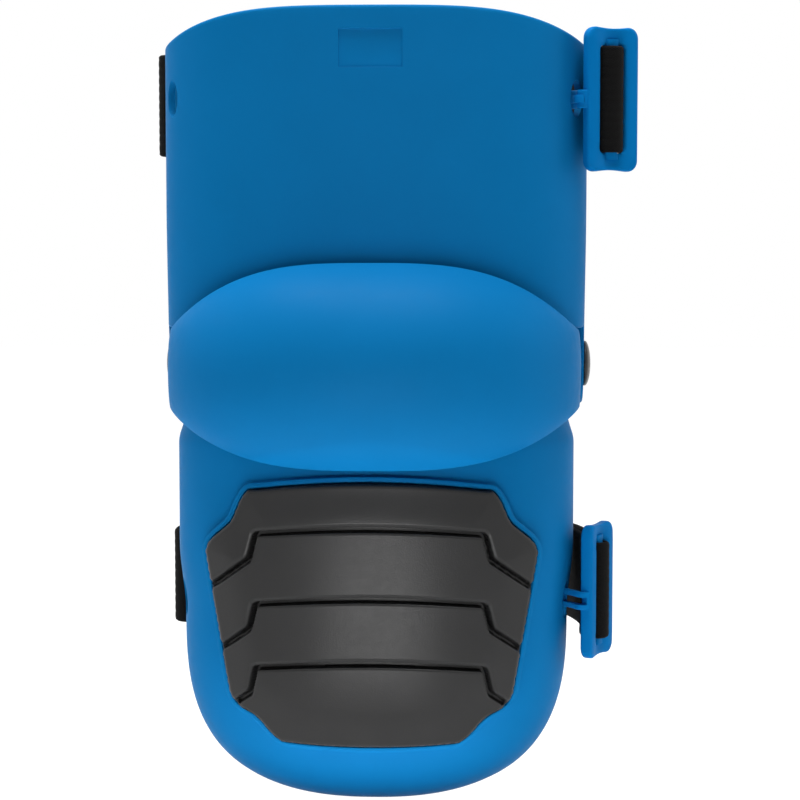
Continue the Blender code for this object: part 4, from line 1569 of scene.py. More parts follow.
    def lip(self, shell: ShinShell) -> Mesh:
        """Return the raised lip as a closed ring sunk into the shell.

        Args:
            shell: The shell it stands on.

        Returns:
            The ring's mesh.
        """
        line = np.stack(self.rim_line(), axis=1)
        step = np.roll(line, -1, axis=0) - line
        line = line[np.hypot(step[:, 0], step[:, 1]) > 0.15]
        closed = np.concatenate([line, line[:1]])
        length = run_length(closed)
        line = read_path(closed, length, np.linspace(0.0, length[-1], self.lip_points, endpoint=False))
        for _ in range(3):
            line = 0.5 * line + 0.25 * (np.roll(line, 1, axis=0) + np.roll(line, -1, axis=0))
        out = left_of(unit(np.roll(line, -1, axis=0) - np.roll(line, 1, axis=0)))
        for _ in range(6):
            out = unit(0.5 * out + 0.25 * (np.roll(out, 1, axis=0) + np.roll(out, -1, axis=0)))
        rings = []
        for offset, height in self.lip_section():
            x, z = (line + out * offset).T
            rings.append(shell.raised(x, z, np.full(len(x), height)))
        return make_mesh("lip", np.stack(rings), grid_faces(len(rings), self.lip_points, True, True))


@dataclass
class Hinge:
    """Rivet, washer and inner cap on each side."""

    outer: float = 77.0
    inner: float = 68.2
    gap: float = 0.4
    head_radius: float = 8.5
    head_height: float = 2.7
    head_edge: float = 0.5
    shank_radius: float = 3.0
    washer_radius: float = 7.0
    washer_thickness: float = 0.9
    washer_play: float = 0.3
    cap_radius: float = 6.0
    cap_thickness: float = 1.5

    def head(self, seat: float, end: float) -> list[Point]:
        """Return the rivet's profile.

        Args:
            seat: Where the head sits, along X.
            end: Where the shank ends.

        Returns:
            Points of radius and x.
        """
        dome = self.head_height - self.head_edge
        head = [(0.0, seat + self.head_height)]
        for angle in np.linspace(1.5, 0.12, 14):
            head.append((self.head_radius * cos(angle), seat + self.head_edge + dome * sin(angle)))
        rounding = ((0.0, 0.45), (0.1, 0.1), (0.4, 0.0))
        head += [(self.head_radius - less, seat + rise) for less, rise in rounding]
        return head + [(self.shank_radius, seat), (self.shank_radius, end), (0.0, end)]

    def washer(self, high: float) -> list[Point]:
        """Return the washer's profile, a rectangle with broken edges.

        Args:
            high: Its outer face, along X.

        Returns:
            Points of radius and x.
        """
        hole = self.shank_radius + self.washer_play
        low = high - self.washer_thickness
        rim = self.washer_radius
        outward = [(hole, high - 0.1), (hole + 0.1, high), (rim - 0.15, high), (rim, high - 0.15)]
        return outward + [(rim, low + 0.15), (rim - 0.15, low), (hole + 0.1, low), (hole, low + 0.1)]

    def inner_cap(self, high: float) -> list[Point]:
        """Return the inner cap's profile, a low dome.

        Args:
            high: Its outer face, along X.

        Returns:
            Points of radius and x.
        """
        flat = high - self.cap_thickness
        rim = self.cap_radius
        edge = [(rim - 0.1, high), (rim, high - 0.15), (rim - 0.1, high - 0.6), (rim - 0.5, high - 1.1)]
        return [(0.0, high), *edge, (rim - 1.3, flat + 0.08), (rim - 2.2, flat), (0.0, flat)]

    def build(self, rivet: Material, steel: Material) -> None:
        """Build and hand over both sides.

        Args:
            rivet: Finish of rivets and caps.
            steel: Finish of washers.
        """
        washer = self.inner - self.gap
        cap = washer - self.washer_thickness - self.gap
        kinds = (
            ("hinge_rivet", self.head(self.outer + self.gap, cap + self.gap), rivet, Slot.RIVET),
            ("hinge_washer", self.washer(washer), steel, Slot.WASHER),
            ("hinge_cap", self.inner_cap(cap), rivet, Slot.RIVET),
        )
        for name, profile, finish, slot in kinds:
            for side in Side:
                label = f"{name}_{side.name.lower()}"
                mesh = lathe(label, profile, 72)
                if side is Side.LEFT:
                    mesh = moved(mesh, (0.0, 0.0, 0.0), pi)
                hand_over(show(label + "_fine", smooth(mesh), finish), Body.SHIN, slot, label)


def smooth_path(route: Sequence[Point], steps: int) -> Array:
    """Return a smooth curve through a route.

    Args:
        route: Plan points.
        steps: Points between two of them.

    Returns:
        Points by 2.
    """
    points = np.array(route, float)
    points = np.concatenate([[2.0 * points[0] - points[1]], points, [2.0 * points[-1] - points[-2]]])
    t = np.linspace(0.0, 1.0, steps, endpoint=False)[:, None]
    path = []
    for a, b, c, d in zip(points, points[1:], points[2:], points[3:]):
        bend = 2.0 * a - 5.0 * b + 4.0 * c - d
        twist = 3.0 * b - a - 3.0 * c + d
        path.append(0.5 * (2.0 * b + (c - a) * t + bend * t ** 2 + twist * t ** 3))
    return np.concatenate([*path, points[-2:-1]])


def resample(path: Array, spacing: float) -> tuple[Array, Array]:
    """Space a path's points evenly.

    Args:
        path: Points by 2.
        spacing: Distance between points.

    Returns:
        The points and their distance along the path.
    """
    length = run_length(path)
    at = np.linspace(0.0, length[-1], int(length[-1] / spacing) + 2)
    return read_path(path, length, at), at


@dataclass
class Buckle:
    """A frame with a bar for the webbing and a bent double-arm hook."""

    name: str
    body: Body
    turn: float
    pivot: Point
    level: float
    height: float
    window: Point
    corner_spot: Point
    rise: float = 0.0
    width: float = 21.4
    thickness: float = 4.8
    corner: float = 4.2
    window_corner: float = 1.8
    edge_power: float = 0.48
    edge_points: int = 40
    hook_root: tuple[Point, ...] = ((1.4, 1.4), (-1.0, 3.6))
    hook_lean: float = 0.4
    hook_tip: Point = (-1.0, 4.2)
    bar_width: float = 4.4
    bar_thickness: float = 2.6
    bar_power: float = 0.55
    bar_overlap: float = 2.4
    bar_flare: float = 0.25
    bar_rings: int = 40
    bar_sides: int = 28
    arm_height: float = 6.6
    arm_thickness: float = 2.2
    arm_edge: float = 0.45
    pocket_height: float = 2.8
    pocket_width: float = 4.4
    pocket_edge: float = 0.3
    scoop: float = 2.4
    waist: float = 0.9
    waist_run: float = 8.0

    def place(self, x: Array, y: Array) -> tuple[Array, Array]:
        """Take a plan point of the buckle to the scene.

        Args:
            x: Across the frame from its hook side.
            y: Back from its face.

        Returns:
            Scene x and y.
        """
        c = cos(self.turn)
        s = sin(self.turn)
        a = np.asarray(x, float) + self.corner_spot[0]
        b = np.asarray(y, float) + self.corner_spot[1]
        return self.pivot[0] + a * c - b * s, self.pivot[1] + a * s + b * c

    def loop(self, wide: float, tall: float, radius: float) -> Array:
        """Return a rounded rectangle with a fixed count of points on each stretch.

        Args:
            wide: Width.
            tall: Height.
            radius: Corner radius.

        Returns:
            Points by 2.
        """
        arcs = []
        for sign_x, sign_y, start in ((1, 1, 0.0), (-1, 1, 0.5), (-1, -1, 1.0), (1, -1, 1.5)):
            angle = pi * (start + 0.5 * np.linspace(0.0, 1.0, 13))
            x = sign_x * (0.5 * wide - radius) + radius * np.cos(angle)
            y = sign_y * (0.5 * tall - radius) + radius * np.sin(angle)
            arcs.append(np.stack([x, y], axis=1))
        share = np.linspace(0.0, 1.0, 34)[1:-1, None]
        points = []
        for arc, after in zip(arcs, arcs[1:] + arcs[:1]):
            points += [arc, mix(arc[-1], after[0], share)]
        return np.concatenate(points)

    def frame_mesh(self) -> Mesh:
        """Return the frame as a ring with rounded edges and scooped rails.

        Returns:
            The mesh in the scene's place.
        """
        outer = self.loop(self.width, self.height, self.corner)
        inner = self.loop(*self.window, self.window_corner)
        on_rail = np.abs(outer[:, 1]) > 0.5 * self.window[1] + 0.5
        dip = np.cos(np.clip(outer[:, 0] / self.waist_run, -0.5 * pi, 0.5 * pi)) ** 2 * on_rail
        outer = outer - np.stack([np.zeros(len(dip)), np.sign(outer[:, 1]) * self.waist * dip], axis=1)
        angle = np.linspace(0.0, 2.0 * pi, self.edge_points, endpoint=False)
        rings = []
        for across, deep in zip(*(squared(wave, self.edge_power) for wave in (np.cos(angle), np.sin(angle)))):
            plan = 0.5 * (outer + inner) + 0.5 * (outer - inner) * across
            inward = 0.3 + 0.35 * (1.0 - across)
            y = 0.5 * self.thickness * (1.0 + deep) + self.scoop * dip * max(0.0, -deep) * inward
            x, back = self.place(plan[:, 0] + 0.5 * self.width, y)
            rings.append(np.stack([x, back, plan[:, 1] + self.level + self.rise], axis=1))
        return make_mesh(self.name, np.stack(rings), grid_faces(len(rings), len(outer), True, True))

    def bar_mesh(self) -> Mesh:
        """Return the bar that the webbing goes round.

        Returns:
            The mesh in the scene's place.
        """
        angle = np.linspace(0.0, 2.0 * pi, self.bar_sides, endpoint=False)
        x = 0.5 * self.bar_width * squared(np.cos(angle), self.bar_power)
        y = 0.5 * self.bar_thickness * squared(np.sin(angle), self.bar_power)
        half = 0.5 * self.window[1]
        reach = half + self.bar_overlap
        rings = []
        for z in np.linspace(-reach, reach, self.bar_rings):
            grow = 1.0 + self.bar_flare * ease(half - 4.0, reach, abs(z))
            spot = self.place(0.5 * self.width + x * grow, 0.5 * self.thickness + y * grow)
            rings.append(with_heights(np.stack(spot, axis=1), z + self.level + self.rise))
        faces = tube_faces(self.bar_rings, self.bar_sides)
        return make_mesh(self.name + "_bar", np.concatenate(rings), faces)

    def band(self, path: Array, thickness: float) -> Array:
        """Return the outline of a band along a path.

        Args:
            path: Points by 2.
            thickness: Band thickness.

        Returns:
            Closed outline, points by 2.
        """
        ways = tangents(path)
        normal = left_of(ways) * 0.5 * thickness
        tip = path[-1] + ways[-1] * 0.5 * thickness * 0.7
        return np.concatenate([path + normal, [tip], (path - normal)[::-1]])

    def hook_route(self) -> Array:
        """Return the hook's plan route, from the frame's side through the pivot to the tip.

        Returns:
            Points by 2.
        """
        root = np.array(self.hook_root)
        pivot = -np.array(self.corner_spot)
        middle = 0.5 * (root[-1] + pivot) + np.array([self.hook_lean, 0.0])
        return np.vstack([root, middle, pivot, pivot + np.array(self.hook_tip)])

    def hook_tools(self) -> list[tuple[Mesh, Carve]]:
        """Return the hook's arms and the pocket between them.

        Returns:
            Helper meshes, each with what it does.
        """
        path = smooth_path(list(zip(*self.place(*self.hook_route().T))), 4)
        half = 0.5 * self.arm_height
        deep = 0.5 * self.pocket_height
        arm = self.band(path, self.arm_thickness)
        pocket = self.band(path[2:12], self.pocket_width)
        return [
            (prism("arm", arm, self.level - half, self.level + half, self.arm_edge), Carve.JOIN),
            (prism("pocket", pocket, self.level - deep, self.level + deep, self.pocket_edge), Carve.CUT),
        ]

    def build(self, finish: Material) -> None:
        """Build and hand over the buckle.

        Args:
            finish: Its material.
        """
        tools = [(self.bar_mesh(), Carve.JOIN), *self.hook_tools()]
        mesh = smooth(carve(self.frame_mesh(), tools), 42.0)
        hand_over(show(self.name + "_fine", mesh, finish), self.body, Slot.BUCKLE, self.name)


def stitch_group() -> bpy.types.NodeTree:
    """Make the node group that sets a stitch on each point.

    Returns:
        The node group.
    """
    group = bpy.data.node_groups.new("stitches", "GeometryNodeTree")
    inputs = {"Geometry": "Geometry", "Length": "Float", "Radius": "Float", "Finish": "Material"}
    for name, kind in inputs.items():
        group.interface.new_socket(name, in_out="INPUT", socket_type="NodeSocket" + kind)
    group.interface.new_socket("Geometry", in_out="OUTPUT", socket_type="NodeSocketGeometry")
    tree = Nodes(group)
    start = tree.node("NodeGroupInput").outputs
    half = tree.math("MULTIPLY", start["Length"], 0.5)
    scale = tree.node("ShaderNodeCombineXYZ", X=half, Y=start["Radius"], Z=start["Radius"])
    along = tree.node("GeometryNodeInputNamedAttribute", Name="along")
    along.data_type = "FLOAT_VECTOR"
    align = tree.node("FunctionNodeAlignRotationToVector", Vector=along.outputs["Attribute"])
    align.axis = "X"
    ball = tree.node("GeometryNodeMeshIcoSphere", Subdivisions=2, Radius=1.0).outputs["Mesh"]
    setter = tree.node("GeometryNodeInstanceOnPoints", Points=start["Geometry"], Instance=ball)
    tree.feed(setter.inputs["Rotation"], align.outputs["Rotation"])
    tree.feed(setter.inputs["Scale"], scale.outputs["Vector"])
    real = tree.node("GeometryNodeRealizeInstances", Geometry=setter.outputs["Instances"]).outputs["Geometry"]
    paint = tree.node("GeometryNodeSetMaterial", Geometry=real, Material=start["Finish"])
    tree.node("NodeGroupOutput", Geometry=paint.outputs["Geometry"])
    return group


@dataclass
class Stitcher:
    """Sews rows of stitches on given points."""

    group: bpy.types.NodeTree
    finish: Material
    length: float = 2.3
    radius: float = 0.32

    def sew(self, name: str, rows: Sequence[tuple[Array, Array]], body: Body, slot: Slot) -> None:
        """Build and hand over one set of stitches.

        Args:
            name: Piece name.
            rows: For each row, stitch centres in millimetres and stitch directions.
            body: Body they ride on.
            slot: Record slot.
        """
        points, ways = (np.concatenate(part) for part in zip(*rows))
        seeds = bpy.data.meshes.new(name)
        seeds.from_pydata((points * MM).tolist(), [], [])
        layer = seeds.attributes.new("along", "FLOAT_VECTOR", "POINT")
        layer.data.foreach_set("vector", unit(ways).astype(np.float32).ravel())
        holder = link(name, seeds)
        step = holder.modifiers.new("stitches", "NODES")
        step.node_group = self.group
        values = {"Length": self.length * MM, "Radius": self.radius * MM, "Finish": self.finish}
        for socket in self.group.interface.items_tree:
            if socket.in_out == "INPUT" and socket.name in values:
                step[socket.identifier] = values[socket.name]
        mesh = applied_mesh(holder)
        bpy.data.objects.remove(holder, do_unlink=True)
        hand_over(show(name, smooth(mesh), self.finish), body, slot)


@dataclass
class Strap:
    """Elastic webbing: through the left slot, round the leg, round the buckle bar and back on itself."""

    name: str
    body: Body
    buckle: Buckle
    wall_out: float
    wall_in: float
    slot_depth: float
    shift: float
    level: float
    width: float
    stand: float
    thickness: float = 1.8
    selvage: float = 0.9
    rib: float = 3.17
    rib_depth: float = 0.14
    end: float = 19.0
    back: float = 62.0
    gap: float = 0.4
    spacing: float = 0.9
    columns: int = 73
    tab_half_width: float = 16.0
    tab_half_thickness: float = 0.3
    tab_stretch: tuple[int, int] = (24, 40)
    anchor_stitches: Point = (16.2, 3.0)
    end_stitches: Point = (14.5, 2.9)
    side: tuple[Point, ...] = ((4.4, -4.0), (2.3, 13.0), (-2.6, 29.0), (-13.0, 44.5), (-37.0, 57.5))
    over: tuple[Point, ...] = ((7.9, -2.5), (5.7, 14.3), (0.5, 31.0), (-10.6, 47.1), (-32.0, 59.4))
    wrap: tuple[Point, ...] = (
        (1.4, 6.6),
        (-1.2, 3.9),
        (-3.1, 1.8),
        (-3.6, 0.0),
        (-3.0, -2.1),
        (-0.9, -3.4),
        (1.6, -3.3),
        (3.3, -1.7),
        (3.8, 0.8),
        (4.1, 2.8),
        (5.8, 5.8),
    )

    def routes(self) -> tuple[list[Point], list[Point], list[Point], list[Point]]:
        """Return the route's stretches.

        Returns:
            Left loop, right side, wrap round the bar and return.
        """
        inside = -(self.wall_in - self.gap - 0.5 * self.thickness)
        outside = -(self.wall_out + self.stand)
        middle = 0.5 * (inside + outside)
        radius = 0.5 * (inside - outside)
        bend = self.slot_depth + radius - 0.7
        fold = [(middle + radius * cos(a), bend - radius * sin(a)) for a in np.linspace(0.0, pi, 7)]
        left = [(inside, self.end + self.shift), (inside, bend + 2.0), *fold]
        left += [(outside, bend + 2.0), (outside + 0.5, 17.0 + self.shift)]
        left += [(-self.wall_out - across, y + self.shift) for across, y in self.side[2:]]
        right = [(self.wall_out + across, y + self.shift) for across, y in self.side[::-1]]
        bar_x = 0.5 * self.buckle.width
        bar_y = 0.5 * self.buckle.thickness
        wrap = [tuple(map(float, self.buckle.place(bar_x + x, bar_y + y))) for x, y in self.wrap]
        back = [(self.wall_out + across, y + self.shift) for across, y in self.over]
        return left, right, wrap, back

    def path(self) -> tuple[Array, Array]:
        """Return the strap's middle line.

        Returns:
            Points by 2 and their distance along it.
        """
        left, right, wrap, back = self.routes()
        route = [*left, (0.0, self.back + self.shift), *right, *wrap, *back]
        return resample(smooth_path(route, 12), self.spacing)

    def band_mesh(self) -> Mesh:
        """Return the ribbed band.

        Returns:
            The mesh, with UV in millimetres.
        """
        path, run = self.path()
        normal = left_of(tangents(path))
        z = np.linspace(-0.5 * self.width, 0.5 * self.width, self.columns)
        near_edge = np.clip((np.abs(z) - 0.5 * self.width + self.selvage) / self.selvage, 0.0, 1.0)
        edge = np.sqrt(np.clip(1.0 - near_edge ** 2, 0.02, 1.0))
        ribs = 1.0 - self.rib_depth + self.rib_depth * np.abs(np.cos(pi * z / self.rib)) ** 0.7
        half = 0.5 * self.thickness * edge * ribs
        ring_z = np.concatenate([z, z[::-1]])
        ring_off = np.concatenate([half, -half[::-1]])
        plan = path[:, None, :] + normal[:, None, :] * ring_off[None, :, None]
        rows, columns = plan.shape[:2]
        points = with_heights(plan, ring_z + self.level)
        mesh = make_mesh(self.name, points, tube_faces(rows, columns), weld=False)
        uv = np.stack([np.repeat(run, columns), np.tile(ring_z, rows)], axis=-1)
        return smooth(set_uv(mesh, uv), 60.0)

    def build(self, finish: Material, tape: Material, stitcher: Stitcher) -> None:
        """Build the strap and hide its imported node, and build and hand over its tab and its stitching.

        Args:
            finish: Webbing material.
            tape: Hook tape material.
            stitcher: Sews the stitches.
        """
        band = show(self.name + "_webbing", self.band_mesh(), finish)
        hold = self.buckle.place(0.5 * self.buckle.width, 0.5 * self.buckle.thickness + 6.0)
        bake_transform(band)
        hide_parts(self.name)
        self.build_tab(tape)
        self.sew_anchor(stitcher)
        self.sew_end(stitcher)

    def build_tab(self, tape: Material) -> None:
        """Build the hook tape between the strap's two layers.

        Args:
            tape: Its material.
        """
        _, right, _, back = self.routes()
        first, last = self.tab_stretch
        under, over = (smooth_path(route, 12)[first:last] for route in (right[::-1], back))
        line, _ = resample(0.5 * (under + over), 0.8)
        normal = left_of(tangents(line))
        z = np.linspace(-self.tab_half_width, self.tab_half_width, 33) + self.level
        layers = []
        for offset in (self.tab_half_thickness, -self.tab_half_thickness):
            plan = line + normal * offset
            layers.append(with_heights(np.repeat(plan[:, None, :], len(z), axis=1), z))
        mesh = project_uv(sandwich(self.name + "_tab", *layers, 0.6, 4))
        hand_over(show(self.name + "_tape", smooth(mesh), tape), self.body, Slot.TAPE, self.name + "_tab")

    def row(self, spots: Array, heights: Array, face: float, upright: bool) -> tuple[Array, Array]:
        """Return a row of stitches on the band's face.

        Args:
            spots: Distances along the band.
            heights: Heights from its middle.
            face: Sign of the face.
            upright: Whether the stitches stand up, rather than run along the band.

        Returns:
            Stitch centres and directions.
        """
        path, run = self.path()
        spots, heights = np.broadcast_arrays(spots, heights)
        along = unit(read_path(tangents(path), run, spots))
        plan = read_path(path, run, spots) + left_of(along) * face * (0.5 * self.thickness + 0.02)
        up = np.tile([0.0, 0.0, 1.0], (len(spots), 1))
        return with_heights(plan, heights + self.level), up if upright else with_heights(along, 0.0)

    def sew_anchor(self, stitcher: Stitcher) -> None:
        """Sew the doubled webbing just behind the left slot.

        Args:
            stitcher: Sews the stitches.
        """
        path, run = self.path()
        outer = np.nonzero((path[:, 0] < -self.wall_out) & (path[:, 1] > self.slot_depth + 7.0))[0]
        start = run[outer[0]]
        reach, pitch = self.anchor_stitches
        heights = np.arange(-reach, reach + 0.1, pitch)
        spots = (start + 1.0, start + 5.0)
        rows = [self.row(spot, heights, face, True) for spot in spots for face in (1.0, -1.0)]
        stitcher.sew(self.name + "_anchor_stitches", rows, self.body, Slot.WEBBING)

    def sew_end(self, stitcher: Stitcher) -> None:
        """Sew the hook tape to the strap's free end.

        Args:
            stitcher: Sews the stitches.
        """
        _, run = self.path()
        last = run[-1]
        reach, pitch = self.end_stitches
        heights = np.arange(-reach, reach + 0.1, pitch)
        lengths = np.arange(last - 21.0, last - 3.0, 3.0)
        rows = []
        for face in (1.0, -1.0):
            rows += [self.row(spot, heights, face, True) for spot in (last - 2.4, last - 22.4)]
            rows += [self.row(lengths, height, face, False) for height in (-reach, reach)]
        stitcher.sew(self.name + "_end_stitches", rows, self.body, Slot.WEBBING)


def fullness(across: Array, along: Array, edge: float) -> Array:
    """Return a pad's share of its full thickness, which falls to an edge share at its sides and ends."""
    return edge + (1.0 - edge) * (1.0 - across ** 8) * (1.0 - along ** 8)


@dataclass(frozen=True)
class Padding:
    """A foam pad and the knit lining on its leg side, between surfaces set in from a shell."""

    name: str
    body: Body
    pad_node: str
    lining_node: str
    gap: float
    lining: float = 0.8
    foam_fill: float = 0.8
    knit_fill: float = 0.7

    def build(self, layer: Callable[[Array], Array], back: float, full: Array, look: Finishes) -> None:
        """Build and hand over the pad and its lining.

        Args:
            layer: Gives the surface at distances in from the shell.
            back: Distance of the pad's shell side.
            full: Distances of its leg side.
            look: The finishes.
        """
        near = full + self.gap
        foam = sandwich(self.name + "_foam", layer(back + 0.0 * full), layer(full), 0.35)
        thing = show(self.name + "_foam", smooth(project_uv(foam)), look.foam)
        hand_over(thing, self.body, Slot.FOAM, self.pad_node)
        knit = sandwich(self.name + "_knit", layer(near), layer(near + self.lining), 0.8, 4)
        thing = show(self.name + "_knit", smooth(project_uv(knit)), look.knit)
        hand_over(thing, self.body, Slot.KNIT, self.lining_node)


@dataclass
class Liner:
    """A foam pad with sewn channels behind a shell, and the knit on its leg side."""

    name: str
    body: Body
    section: Callable[[Array, Array, Array], tuple[Array, Array]]
    reach: float
    low: float
    high: float
    thickness: float
    corner: float
    patch_level: float
    back: float = 4.6
    edge: float = 0.38
    gap: float = 0.5
    channels: tuple[float, ...] = (-0.36, 0.36)
    channel_width: float = 0.045
    channel_depth: float = 0.4
    seam_pitch: float = 3.4
    seam_rise: float = 0.05
    patch_side: float = 0.24
    patch_width: float = 0.13
    patch_height: float = 26.0
    patch_insets: Point = (2.95, 4.25)
    points: int = 141
    patch_points: int = 31

    def full(self, across: Array, along: Array) -> Array:
        """Return how far the pad's leg side lies in from the shell.

        Args:
            across: From -1 to 1 over the width.
            along: From -1 to 1 over the height.

        Returns:
            Distances.
        """
        share = fullness(across, along, self.edge)
        for channel in self.channels:
            dip = np.exp(-(((across - channel) / self.channel_width) ** 2))
            share = share * (1.0 - self.channel_depth * dip)
        return self.back + self.thickness * share

    def layer(self, across: Array, along: Array, inset: Array) -> Array:
        """Return points at a distance in from the shell.

        Args:
            across: From -1 to 1.
            along: From -1 to 1.
            inset: Distance from the shell's outer face.

        Returns:
            Points with a last axis of 3.
        """
        side = self.reach * across * (1.0 - self.corner * along ** 6)
        z = mix(self.low, self.high, 0.5 + 0.5 * along * (1.0 - self.corner * across ** 6))
        x, y = self.section(side, z, inset)
        return np.stack([x, y, z], axis=-1)

    def build(self, look: Finishes, stitcher: Stitcher) -> None:
        """Build and hand over the pad, its lining, its seams and its patches.

        Args:
            look: The finishes.
            stitcher: Sews the seams.
        """
        padding = Padding(self.name, self.body, self.name + "_pad", self.name + "_lining", self.gap)
        even = np.linspace(-1.0, 1.0, self.points)
        u = 0.5 * np.sin(0.5 * pi * even) + 0.5 * even
        across, along = np.meshgrid(u, u)
        full = self.full(across, along)
        padding.build(lambda inset: self.layer(across, along, inset), self.back, full, look)
        rows = [self.seam(channel, padding.lining) for channel in self.channels]
        stitcher.sew(self.name + "_seams", rows, self.body, Slot.KNIT)
        for side in Side:
            self.build_patch(side, look.tape)

    def seam(self, channel: float, lining: float) -> tuple[Array, Array]:
        """Return the stitches along a channel.

        Args:
            channel: Where it lies, from -1 to 1 over the width.
            lining: Thickness of the knit that the stitches lie on.

        Returns:
            Stitch centres and directions.
        """
        along = np.linspace(-0.93, 0.93, int((self.high - self.low) / self.seam_pitch))
        across = np.full(len(along), channel)
        inset = self.full(across, along) + self.gap + lining + self.seam_rise
        line = self.layer(across, along, inset)
        return line, np.gradient(line, axis=0)

    def build_patch(self, side: Side, tape: Material) -> None:
        """Build the hook tape between shell and foam at one side.

        Args:
            side: Which side.
            tape: Its material.
        """
        share = np.linspace(-0.5, 0.5, self.patch_points)
        u, v = np.meshgrid(share, share)
        z = self.patch_level + self.patch_height * v
        layers = []
        for inset in self.patch_insets:
            x, y = self.section(side.value * self.patch_side + self.patch_width * u, z, inset)
            layers.append(np.stack([x, y, z], axis=-1))
        name = f"{self.name}_patch_{side.name.lower()}"
        mesh = project_uv(sandwich(name, *layers, 0.5, 4))
        hand_over(show(name + "_tape", smooth(mesh), tape), self.body, Slot.TAPE, name)


@dataclass
class KneeLiner:
    """The foam cushion inside the dome and its knit lining."""

    cap: KneeCap
    thickness: float = 10.0
    back: float = 5.0
    edge: float = 0.35
    gap: float = 0.4
    half_width: float = 0.42
    half_height: float = 0.60
    corner: float = 0.12
    columns: int = 121
    rows: int = 91

    def layer(self, across: Array, along: Array, inset: Array) -> Array:
        """Return points at a distance in from the dome, by shares from -1 to 1 across and along."""
        side = self.half_width * across * (1.0 - self.corner * along ** 6)
        return self.cap.point(side, self.half_height * along * (1.0 - self.corner * across ** 6), inset)

    def build(self, look: Finishes) -> None:
        """Build and hand over cushion and lining.

        Args:
            look: The finishes.
        """
        across, along = np.meshgrid(np.linspace(-1.0, 1.0, self.columns), np.linspace(-1.0, 1.0, self.rows))
        full = self.back + self.thickness * fullness(across, along, self.edge)
        padding = Padding("knee", Body.KNEECAP, "knee_cushion", "knee_lining", self.gap)
        padding.build(lambda inset: self.layer(across, along, inset), self.back, full, look)


@dataclass(frozen=True)
class SoftLight:
    """A large soft lamp."""

    name: str
    spot: Spot
    aim: Spot
    size: Point
    power: float
    mirrored: bool = True

    def build(self) -> None:
        """Put the lamp into the scene."""
        data = bpy.data.lights.new(self.name, "AREA")
        data.shape = "RECTANGLE"
        data.size, data.size_y = self.size
        data.energy = self.power
        lamp = link(self.name, data)
        lamp.location = self.spot
        way = Vector(self.aim) - Vector(self.spot)
        lamp.rotation_euler = way.to_track_quat("-Z", "Y").to_euler()
        lamp.visible_camera = False
        lamp.visible_glossy = self.mirrored


